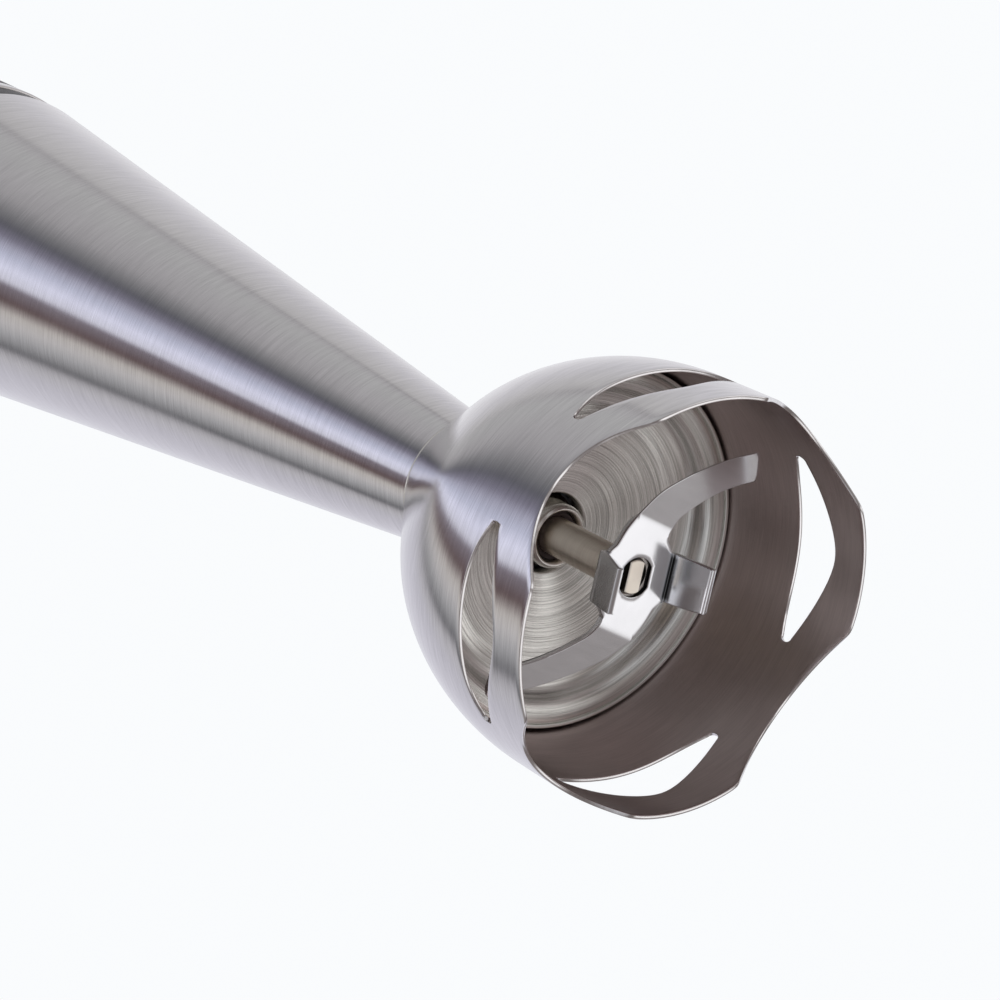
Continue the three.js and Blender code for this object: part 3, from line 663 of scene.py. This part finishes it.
leg = {
    "tubeFoot": (10.9, 58.6),
    "tubeHead": (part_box("leg_tube")[1][0] / mm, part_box("leg_tube")[1][2] / mm),
    "tubeSheet": 0.8,
    "linerSheet": 0.8,
    # Profiles as (radius, height, size of the rounded corner).
    "liner": [(6.35, 37.1), (6.6, 36.2, 0.25), (20.4, 32.5, 1.2), (22.2, 32.6, 0.9), (24.4, 31.6, 1.0),
              (25.3, 29.2, 0.9), (26.7, 28.35, 0.9), (28.2, 28.3, 0.5), (28.9, 28.8)],
    "lip": [(28.75, 28.9, 0.2), (28.75, 28.35, 0.2), (29.35, 28.35, 0.2), (29.35, 28.9, 0.2)],
    "bush": [(3.9, 38.4), (3.9, 34.6, 0.6), (4.55, 33.6, 0.6), (5.2, 34.2, 0.7), (5.4, 38.0), (6.0, 38.6),
             (6.0, 56.0), (3.35, 56.0), (3.35, 38.4)],
    "seal": [(3.06, 35.9, 0.1), (3.06, 35.3, 0.1), (3.85, 35.0, 0.1), (3.85, 37.6)],
}


def buildTube():
    (r0, z0), (r1, z1) = leg["tubeFoot"], leg["tubeHead"]
    wall = leg["tubeSheet"]
    rows = np.linspace(0, 1, 30)[:, None]
    outside = np.array([[r0, z0]]) + rows * np.array([[r1 - r0, z1 - z0]])
    inside = outside[::-1] - [wall, 0]
    points, faces = turned(np.concatenate([outside, inside]), 192)
    addPiece("tube", points, faces, "leg", "brushed_steel", ["leg_tube"], sharp=40)


def buildLiner():
    face = roundedLine(leg["liner"], 6)
    back = face[::-1] + [0, leg["linerSheet"]]
    points, faces = turned(np.concatenate([face, back]), 160)
    addPiece("liner", points, faces, "leg", "spun_steel", ["bell_liner"], sharp=50)
    # Rolled lip where the disc meets the wall.
    points, faces = turned(roundedLine(leg["lip"], 4, closed=True), 160)
    addPiece("liner_lip", points, faces, "leg", "spun_steel", sharp=60)


def buildBush():
    points, faces = turned(roundedLine(leg["bush"], 8, closed=True), 96)
    addPiece("bush", points, faces, "leg", "bush_metal", ["lower_bush"], sharp=50)
    points, faces = turned(roundedLine(leg["seal"], 4, closed=True), 96)
    addPiece("seal", points, faces, "leg", "rubber", ["shaft_seal"], sharp=50,
             finish=finishes["seal_rubber"])


blade = {
    "face": 15.0,  # height of the hub's lower face
    "sheet": 1.0,
    "bend": 8.8,
    "bendTurn": -60 * degree,
    "bendRise": math.tan(8 * degree),
    "tabOut": 6.26,
    "tabTurn": 12.2 * degree,
    "tabWidth": 7.7,
    "tabLength": 7.3,
    "tabFold": 72 * degree,
    "tabBend": 0.5,  # inner radius of the fold
    "tabTaper": 0.35,
    "crease": (0.75, 0.32),  # width and depth of the groove at a tab's root
    "creaseShade": (6.5, 0.85, 8.2),  # its distance out, width and length
    "ground": (1.3, 0.3),  # width of an arm's thinned edge, and the share left on the edge
    "armSize": (27.0, 4.4),
    "hole": (3.15, 2.7),  # radius, and half the distance between the flats
    "holeShade": (3.45, 15.2, 15.28, 16.2),  # radius, start on the blade and on the shaft, end
    "shaftRadius": 3.0,
    "tenonRadius": 2.7,
    "tenonFlat": 1.4,
    "shaftEnd": 15.15,
    "shoulder": 16.15,
    "cornerRadius": 0.9,
}


# Circles with two flats, one per row: x = r cos a kept within +-flat, y = r sin a, turned
# to the tabs' direction.
def flattedCircle(radius, flat, z, segments):
    a = np.linspace(0, 2 * math.pi, segments, endpoint=False)
    x = np.clip(radius[:, None] * np.cos(a), -flat[:, None], flat[:, None])
    y = radius[:, None] * np.sin(a)
    c, s = math.cos(blade["tabTurn"]), math.sin(blade["tabTurn"])
    points = np.stack([c * x - s * y, s * x + c * y, np.broadcast_to(z[:, None], x.shape)], -1)
    return points.reshape(-1, 3), gridFaces(len(radius), segments, around=True)


def buildShaft():
    r, thin, flat = blade["shaftRadius"], blade["tenonRadius"], blade["tenonFlat"]
    end, shoulder = blade["shaftEnd"], blade["shoulder"]
    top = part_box("drive_shaft")[1][2] / mm
    edge, topEdge = 0.15, 0.3
    rows = np.array([
        (0.0, flat, end), (thin - edge, flat - edge, end), (thin, flat, end + edge), (thin, flat, shoulder),
        (r - edge, r, shoulder), (r, r, shoulder + edge), (r, r, 60.0), (r, r, top - topEdge),
        (r - topEdge, r, top), (0.0, r, top)])
    points, faces = flattedCircle(rows[:, 0], rows[:, 1], rows[:, 2], 96)
    addPiece("shaft", points, faces, "blade_drive", "shaft_steel", ["drive_shaft"], sharp=30)


def spread(count):  # 0 to 1, closer together at both ends
    return 0.5 - 0.5 * np.cos(np.linspace(0, math.pi, count))


# The hub is a grid between the hole and the hub's outline; each arm is a grid between its
# two edge curves with its end drawn back at the corners; each tab is a strip folded down.
def buildBlade():
    face, across = blade["face"], spread(11)[:, None]
    start = np.array([-3.8, -6.0])
    rootOut, rootIn = np.array([0.0, -10.16]), np.array([6.5, -6.42])
    out = np.array([math.cos(blade["tabTurn"]), math.sin(blade["tabTurn"])])
    side = np.array([-out[1], out[0]])
    tabA = out * blade["tabOut"] - side * blade["tabWidth"] / 2
    tabB = out * blade["tabOut"] + side * blade["tabWidth"] / 2
    lead = smoothCurve([start, (-2.2, -8.1), rootOut], 12)
    notch = smoothCurve([rootIn, (5.85, -5.2), (6.35, -3.85), tabA], 12)
    halfLine = np.concatenate([lead[:-1], (rootOut + (rootIn - rootOut) * across)[:-1], notch[:-1],
                               (tabA + (tabB - tabA) * across)[:-1], tabB[None]])
    outline = np.concatenate([halfLine, -halfLine])
    turn = np.arctan2(outline[:, 1], outline[:, 0]) - blade["tabTurn"]
    radius, flat = blade["hole"]
    holeRadius = np.minimum(radius, flat / np.maximum(np.abs(np.cos(turn)), 1e-6))
    hole = outline / np.linalg.norm(outline, axis=1)[:, None] * holeRadius[:, None]
    rows = np.linspace(0, 1, 7)[:, None, None]
    hub = hole + (outline - hole) * rows
    hub = np.concatenate([hub, np.full(hub.shape[:2] + (1,), face)], -1).reshape(-1, 3)
    grids = [(hub, gridFaces(7, len(outline), around=True))]

    samples = 200
    armLength, armWidth = blade["armSize"]
    convex = smoothCurve([rootOut, (4.5, -12.5), (8.7, -13.6), (13.7, -14.4), (18.4, -14.8),
                          (25.2, -14.75)], samples)
    concave = smoothCurve([rootIn, (7.7, -7.5), (10.7, -8.7), (14.9, -9.8), (19.2, -10.35),
                           (24.2, -10.4)], samples)
    fromSide = np.minimum(across, 1 - across) * armWidth
    corner = blade["cornerRadius"]
    pull = corner - np.sqrt(np.clip(corner ** 2 - np.clip(corner - fromSide, 0, None) ** 2, 0, None))
    reach = (1 - pull / armLength)[:, 0]
    along = np.linspace(0, 1, 44)[:, None] * reach
    steps = np.linspace(0, 1, samples)
    edges = [np.stack([np.interp(along, steps, line[:, k]) for k in (0, 1)], -1)
             for line in (convex, concave)]
    arm = edges[0] + (edges[1] - edges[0]) * across[None, :, :]
    past = arm @ np.array([math.cos(blade["bendTurn"]), math.sin(blade["bendTurn"])]) - blade["bend"]
    arm = np.concatenate([arm, (face + blade["bendRise"] * np.clip(past, 0, None))[..., None]], -1)

    # Tab: a groove at its root, round a small bend, then straight; its sides draw in
    # towards the end.
    fold, inner = blade["tabFold"], blade["tabBend"]
    creaseWidth, creaseDepth = blade["crease"]
    run = np.r_[np.linspace(0, creaseWidth, 13), np.linspace(creaseWidth, blade["tabLength"], 12)[1:]]
    bent = np.minimum(run / inner, fold)
    straight = np.clip(run - fold * inner, 0, None)
    outwards = inner * np.sin(bent) + straight * math.cos(fold)
    down = inner * (1 - np.cos(bent)) + straight * math.sin(fold)
    down = down - creaseDepth * np.sin(math.pi * np.clip(run / creaseWidth, 0, 1)) ** 2
    taper = blade["tabWidth"] / 2 - blade["tabTaper"] * (run / blade["tabLength"]) ** 2
    sideways = (2 * across[:, 0] - 1)[None, :] * taper[:, None]
    flatPart = (blade["tabOut"] + outwards)[:, None, None] * out + sideways[..., None] * side
    height = np.broadcast_to((face - down)[:, None, None], flatPart.shape[:2] + (1,))
    tab = np.concatenate([flatPart, height], -1)

    for grid in (arm, tab):
        for sign in (1, -1):
            points = grid.reshape(-1, 3) * [sign, sign, 1]
            grids.append((points, gridFaces(*grid.shape[:2])))
    points, faces = stackGrids(grids)
    line = np.concatenate([convex, -convex])[::2]
    addPiece("cutting_blade", points, faces, "blade_drive", "blade_steel", ["blade"],
             wall=blade["sheet"], bevel=0.12, ground=(line, *blade["ground"]))


def shadeBlade():
    radius, bladeLow, shaftLow, high = blade["holeShade"]
    shadeHole(finishes["blade_steel"], radius, bladeLow, high)
    shadeHole(finishes["shaft_steel"], radius, shaftLow, high)
    shadeCrease(finishes["blade_steel"], *blade["creaseShade"], blade["tabTurn"])


buildBell()
buildTube()
buildLiner()
buildBush()
buildShaft()
buildBlade()
shadeBlade()
print("leg and blade built")


# Motor unit, from the ring at its foot to the speed knob.
handle = {
    "outline": [(31.0, 246.4), (31.05, 250.0), (31.1, 264.0), (28.9, 300.0), (27.9, 335.0),
                (28.7, 362.0), (29.6, 375.7)],
    "mean": 29.5,  # radius that turns an angle into a distance along the shell
    "wall": 1.9,
    "seam": 0.15,
    "lipRadius": 28.3,
    "lipHeights": (240.7, 243.5, 247.5),
    "edge": 0.45,
    "front": [(-90, 355, 15, 19, 3.0), (-90, 331, 15, 19, 3.0)],  # angle, height, width, height, corner
    "sides": [(0, 261, 13, 17, 3.0), (180, 261, 13, 17, 3.0), (-180, 261, 13, 17, 3.0)],
    "ventAngles": (62, 76, 90, 104, 118),
    "vent": (369, 2.2, 7.2, 1.05),  # height, width, height of the slot, corner
    "screwAngles": (36.7, 143.3),
    "screwWell": (272.5, 10.2, 6.2, 3.05),
    "wellSleeve": {"x": 24.2, "radius": 3.15, "from": 8.2, "short": 0.5, "wall": 0.7},
}


def handleRadiusAt(z):
    curve = smoothCurve(handle["outline"], 200)
    return np.interp(z, curve[:, 1], curve[:, 0])


# Grid stations along one direction: every hole's edges and rounded corners get lines of
# their own, and long stretches between them are shared out evenly.
def stations(low, high, spans, step):
    marks = [low, high]
    for centre, half, corner in spans:
        for side in (-1, 1):
            marks += list(centre + side * (half - corner * (1 - np.cos(np.linspace(0, math.pi / 2, 6)))))
            marks += list(centre + side * (half + corner * np.array([0.35, 0.8])))
    marks = np.unique(np.round([m for m in marks if low - 1e-6 <= m <= high + 1e-6], 3))
    marks = marks[np.r_[True, np.diff(marks) > 0.02]]
    parts = [np.linspace(a, b, max(1, math.ceil((b - a) / step)), endpoint=False)
             for a, b in zip(marks, marks[1:])]
    return np.concatenate(parts + [[high]])


# A turned sheet with rounded rectangular holes. Grid lines follow each hole's edges; round
# each corner the square rings of the grid are drawn in to circles, fading out further away.
def piercedSheet(startAngle, stopAngle, low, high, holes, step=2.2):
    mean = handle["mean"]
    arc = [(math.radians(h[0]) * mean, h[2] / 2, h[4]) for h in holes]
    heights = [(h[1], h[3] / 2, h[4]) for h in holes]
    across = stations(math.radians(startAngle) * mean, math.radians(stopAngle) * mean, arc, step)
    up = stations(low, high, heights, step * 1.5)
    s, z = np.meshgrid(across, up)
    faces = gridFaces(len(up), len(across))
    middleS = (s[:-1, :-1] + s[1:, 1:]).ravel() / 2
    middleZ = (z[:-1, :-1] + z[1:, 1:]).ravel() / 2
    keep = np.ones(len(faces), bool)
    moveS, moveZ = np.zeros_like(s), np.zeros_like(z)
    for (s0, w, corner), (z0, h, _) in zip(arc, heights):
        keep &= ~((np.abs(middleS - s0) < w) & (np.abs(middleZ - z0) < h))
        ds, dz = s - s0, z - z0
        outS = ds - np.clip(ds, corner - w, w - corner)
        outZ = dz - np.clip(dz, corner - h, h - corner)
        square = np.maximum(np.abs(outS), np.abs(outZ))
        length = np.maximum(np.hypot(outS, outZ), 1e-9)
        fade = np.clip(1 - (square - corner) / (1.2 * corner), 0, 1)
        moveS += outS * (square / length - 1) * fade
        moveZ += outZ * (square / length - 1) * fade
    angle, z = (s + moveS) / mean, z + moveZ
    r = handleRadiusAt(z)
    points = np.stack([r * np.cos(angle), r * np.sin(angle), z], -1).reshape(-1, 3)
    used = np.unique(faces[keep])
    renumber = np.zeros(len(points), int)
    renumber[used] = np.arange(len(used))
    return points[used], renumber[faces[keep]]


def buildHousings():
    edge = math.degrees(handle["seam"] / handle["mean"])
    low, high = handle["outline"][0][1], handle["outline"][-1][1]
    ventZ, ventWidth, ventHeight, ventCorner = handle["vent"]
    vents = [(a, ventZ, ventWidth, ventHeight, ventCorner) for a in handle["ventAngles"]]
    wells = [(a, *handle["screwWell"]) for a in handle["screwAngles"]]
    halves = (("front", -180 + edge, -edge, handle["front"] + handle["sides"]),
              ("rear", edge, 180 - edge, vents + wells + handle["sides"]))
    for side, start, stop, holes in halves:
        grids = [piercedSheet(start, stop, low, high, holes)]
        # The lip under the steel ring, a plain half sleeve.
        lipAngle, lipZ = np.meshgrid(np.radians(np.linspace(start, stop, 90)), handle["lipHeights"])
        lip = np.stack([handle["lipRadius"] * np.cos(lipAngle), handle["lipRadius"] * np.sin(lipAngle),
                        lipZ], -1).reshape(-1, 3)
        grids.append((lip, gridFaces(*lipZ.shape)))
        points, faces = stackGrids(grids)
        addPiece(side + "_shell", points, faces, "motor_unit", "dark_plastic", ["housing_" + side],
                 wall=handle["wall"], bevel=handle["edge"] / 2, sharp=35)


# A screw well is a short sleeve lying along Y whose outer end follows the shell.
def buildScrewWells():
    sleeve = handle["wellSleeve"]
    turn = np.linspace(0, 2 * math.pi, 49)[:-1]
    t = np.linspace(0, 1, 8)[:, None]
    z = handle["screwWell"][0] + sleeve["radius"] * np.sin(turn)
    for i, side in enumerate((1, -1)):
        x = side * sleeve["x"] + sleeve["radius"] * np.cos(turn)
        end = np.sqrt((handleRadiusAt(z) - sleeve["short"]) ** 2 - x ** 2)
        y = sleeve["from"] + (end - sleeve["from"]) * t
        points = np.stack([x + 0 * y, y, z + 0 * y], -1).reshape(-1, 3)
        faces = gridFaces(len(t), len(turn), around=True)
        addPiece("screw_well_%d" % (i + 1), points, faces, "motor_unit", "dark_plastic",
                 wall=sleeve["wall"], sharp=50)


grip = {
    "half": 25.0,
    "low": 300.4,
    "high": 361.7,
    "corner": 12.0,
    "clearance": 0.3,
    "skin": 0.95,
    "ribs": 13,
    "ribDepth": 0.28,
    "ribMargin": (2.0, 2.5),  # plain border, and the width over which the ribs fade in
    "mean": 28.6,
    "thickness": 0.6,
}


# Rubber skin: a rounded rectangle wrapped on the rear shell, with shallow level ribs that
# fade out towards its edge.
def buildGrip():
    tall = (grip["high"] - grip["low"]) / 2
    middle = (grip["high"] + grip["low"]) / 2
    reach = math.asin(grip["half"] / grip["mean"]) * grip["mean"]
    even = np.linspace(-1, 1, 71)
    closer = np.sin(even * math.pi / 2) * 0.35 + even * 0.65  # columns a little closer at the edges
    u, v = np.meshgrid(closer, np.linspace(-1, 1, 181))
    s, z = u * reach, v * tall
    outS = s - np.clip(s, grip["corner"] - reach, reach - grip["corner"])
    outZ = z - np.clip(z, grip["corner"] - tall, tall - grip["corner"])
    length = np.maximum(np.hypot(outS, outZ), 1e-9)
    square = np.maximum(np.abs(outS), np.abs(outZ))
    s, z = s + outS * (square / length - 1), z + outZ * (square / length - 1)
    inset = np.minimum(reach - np.abs(s), tall - np.abs(z))
    inset = np.where(length > 1e-6, np.minimum(inset, grip["corner"] - square), inset)
    border, blend = grip["ribMargin"]
    fade = np.clip((inset - border) / blend, 0, 1)
    rib = 0.5 + 0.5 * np.cos(z / tall * math.pi * grip["ribs"])
    height = grip["clearance"] + grip["skin"] - grip["ribDepth"] * fade * np.clip(1.6 * rib - 0.3, 0, 1)
    r = handleRadiusAt(z + middle) + height
    angle = math.pi / 2 + s / grip["mean"]
    points = np.stack([r * np.cos(angle), r * np.sin(angle), z + middle], -1).reshape(-1, 3)
    addPiece("grip_skin", points, gridFaces(*u.shape), "motor_unit", "rubber", ["soft_grip"],
             wall=grip["thickness"], bevel=0.25, sharp=45)


# Profiles as (radius, height, size of the rounded corner).
rings = {
    "steel": [(28.6, 240.5, 0.2), (31.0, 240.5, 0.5), (31.0, 246.0, 0.4), (28.6, 246.0, 0.2)],
    "collar": [(27.3, 222.0), (28.2, 222.0, 0.3), (29.1, 230.0, 0.5), (29.1, 232.4), (30.5, 232.4, 0.3),
               (30.5, 239.9, 0.8), (26.0, 239.9, 0.3), (26.0, 252.0, 1.0), (23.4, 252.0, 0.4),
               (23.4, 236.0), (27.3, 232.0)],
}


def buildRings():
    points, faces = turned(roundedLine(rings["steel"], 5, closed=True), 192)
    addPiece("steel_ring", points, faces, "motor_unit", "brushed_steel", ["collar_ring"], sharp=40)
    points, faces = turned(roundedLine(rings["collar"], 5, closed=True), 192)
    addPiece("collar", points, faces, "leg", "dark_plastic", ["leg_collar"], sharp=40)


cap = {
    "side": [(29.6, 376.15), (29.6, 383.0, 3.0), (28.2, 388.4, 2.0), (24.0, 390.0, 2.4), (20.0, 390.0)],
    "top": 390.0,
    "topRing": 24.0,  # the turned side stops here and the flat top starts 0.1 further in
    "glandPlace": (0.0, 17.5),
    "glandHole": 6.0,
    "gland": [(3.6, 384.0, 0.3), (5.7, 384.0, 0.3), (5.7, 390.3), (7.4, 390.3, 0.2), (7.4, 391.6, 0.5),
              (5.8, 393.0, 0.4), (3.6, 393.0, 0.5)],
    "wall": 2.2,
}


# Cap: its side profile turned about the axis, then a flat top drawn from the last ring to
# the rim of the off-centre cable hole.
def buildCap():
    side = roundedLine(cap["side"], 8)
    angle = np.linspace(0, 2 * math.pi, 192, endpoint=False)
    circle = np.stack([np.cos(angle), np.sin(angle)], -1)
    wallRows = side[:, :1, None] * circle[None]
    wallZ = np.broadcast_to(side[:, 1:], wallRows.shape[:2])
    hole = np.array(cap["glandPlace"]) + cap["glandHole"] * circle
    rim = (cap["topRing"] - 0.1) * circle
    t = np.linspace(0, 1, 14)[:, None, None]
    keep = side[:, 0] > cap["topRing"]
    rows = np.concatenate([wallRows[keep], rim + (hole - rim) * t])
    z = np.concatenate([wallZ[keep], np.full((len(t), len(angle)), cap["top"])])
    points = np.concatenate([rows, z[..., None]], -1).reshape(-1, 3)
    addPiece("cap", points, gridFaces(len(rows), len(angle), around=True), "motor_unit", "dark_plastic",
             ["top_cap"], wall=cap["wall"], bevel=0.25, sharp=45)
    gland = roundedLine(cap["gland"], 5, closed=True)
    points, faces = turned(gland, 96, centre=cap["glandPlace"])
    addPiece("gland", points, faces, "motor_unit", "rubber", ["cable_gland"], sharp=45)


dial = {
    "centre": (0.0, -8.0),
    "side": [(3.0, 390.55), (12.9, 390.55, 0.3), (13.4, 391.0, 0.2), (13.0, 399.3, 0.6),
             (12.2, 400.0, 0.5), (10.2, 400.0, 0.5), (9.6, 399.5, 0.5), (0.0, 399.3)],
    "grooves": 24,
    "grooveDepth": 0.55,
    "grooveWidth": 0.9,
    "grooveRadius": 13.2,
    "grooveStart": (11.6, 1.2),  # radius where the grooves begin, and their run-in
    "pointer": {"width": 1.4, "length": 7.0, "corner": 0.65, "out": 7.0, "base": 399.3},
    "pointerEdge": [(0, 0), (0, 0.35), (0.2, 0.5)],
}


# Knob: a turned profile whose side is scalloped by evenly spaced upright grooves.
def buildDial():
    profile = roundedLine(dial["side"], 6)
    foot = np.array([[0.0, dial["side"][0][1]]])
    profile = np.concatenate([foot, profile])
    angle = np.linspace(0, 2 * math.pi, 24 * dial["grooves"], endpoint=False)
    pitch = 2 * math.pi / dial["grooves"]
    along = ((angle + pitch / 2) % pitch - pitch / 2) * dial["grooveRadius"]
    groove = dial["grooveDepth"] * np.clip(1 - (along / dial["grooveWidth"]) ** 2, 0, 1)
    r, z = profile[:, :1], profile[:, 1:]
    begin, runIn = dial["grooveStart"]
    depth = groove * np.clip((r - begin) / runIn, 0, 1)
    radius = np.maximum(r - depth, 0)
    x = dial["centre"][0] + radius * np.cos(angle)
    y = dial["centre"][1] + radius * np.sin(angle)
    points = np.stack([x, y, z + 0 * x], -1).reshape(-1, 3)
    addPiece("knob", points, gridFaces(len(profile), len(angle), around=True), "dial", "grey_plastic",
             ["speed_dial"], sharp=50)
    pointer = dial["pointer"]
    points, faces = pillow(pointer["width"], pointer["length"], pointer["corner"], dial["pointerEdge"])
    points = points[:, [0, 2, 1]] * [1, -1, 1]
    points += [0, dial["centre"][1] - pointer["out"], pointer["base"]]
    addPiece("knob_pointer", points, faces[:, ::-1], "dial", "nylon", sharp=40)


# A pad: a rounded rectangle outline (x across, z up) carried through rows of (inset, rise)
# towards the viewer, then drawn in to its middle with a slight crown.
def pillow(width, height, corner, edge, crown=0.0):
    turn = np.linspace(0, 2 * math.pi, 96, endpoint=False)
    unitX, unitZ = np.cos(turn), np.sin(turn)
    rows, rise = [], []
    for inset, up in edge:
        c = max(corner - inset, 0.05)
        w, h = width / 2 - inset - c, height / 2 - inset - c
        rows.append(np.stack([np.sign(np.round(unitX, 9)) * w + c * unitX,
                              np.sign(np.round(unitZ, 9)) * h + c * unitZ], -1))
        rise.append(up)
    last, top = rows[-1], rise[-1]
    for part in np.linspace(0, 1, 10)[1:]:
        rows.append(last * (1 - part))
        rise.append(top + crown * (1 - (1 - part) ** 2))
    rows.insert(0, rows[0] * 0)
    rise.insert(0, rise[0])
    rows = np.stack(rows)
    depth = np.broadcast_to(np.array(rise)[:, None, None], rows.shape[:2] + (1,))
    points = np.concatenate([rows[..., :1], -depth, rows[..., 1:]], -1).reshape(-1, 3)
    return points, gridFaces(len(rise), len(turn), around=True)


buttons = {
    "front": {"width": 14.2, "height": 18.2, "corner": 3.0, "base": 25.4, "rise": 4.5, "crown": 0.35},
    "side": {"width": 12.2, "height": 16.2, "corner": 3.0, "base": 27.9, "rise": 4.2, "crown": 0.3},
    "round": 0.9,
    # Node, body, kind, height and direction of each.
    "places": (("power_button", "power_button", "front", 355, 0),
               ("turbo_button", "turbo_button", "front", 331, 0),
               ("release_button_right", "release_right", "side", 261, 90),
               ("release_button_left", "release_left", "side", 261, -90)),
}


def buildButtons():
    quarter = np.linspace(0, math.pi / 2, 7)
    soft = buttons["round"]
    for node, body, kind, z, turn in buttons["places"]:
        look = buttons[kind]
        edge = [(0.0, 0.0), (0.0, look["rise"] * 0.5)]
        edge += [(soft * (1 - math.cos(q)), look["rise"] - soft + soft * math.sin(q)) for q in quarter]
        points, faces = pillow(look["width"], look["height"], look["corner"], edge, look["crown"])
        points[:, 1] -= look["base"]
        c, s = math.cos(turn * degree), math.sin(turn * degree)
        points = np.stack([c * points[:, 0] - s * points[:, 1], s * points[:, 0] + c * points[:, 1],
                           points[:, 2] + z], -1)
        addPiece(node + "_cap", points, faces, body, "grey_plastic", [node], sharp=40)


buildHousings()
buildScrewWells()
buildGrip()
buildRings()
buildCap()
buildDial()
buildButtons()
print("motor unit built")


def finishFrameNodes():
    for entry in frame["record"]["subparts"]:
        part = frame["nodes"][entry["node"]]
        for slot in part.material_slots:
            slot.material = finishes[entry["material_slot"]]


finishFrameNodes()
print("inner parts finished")
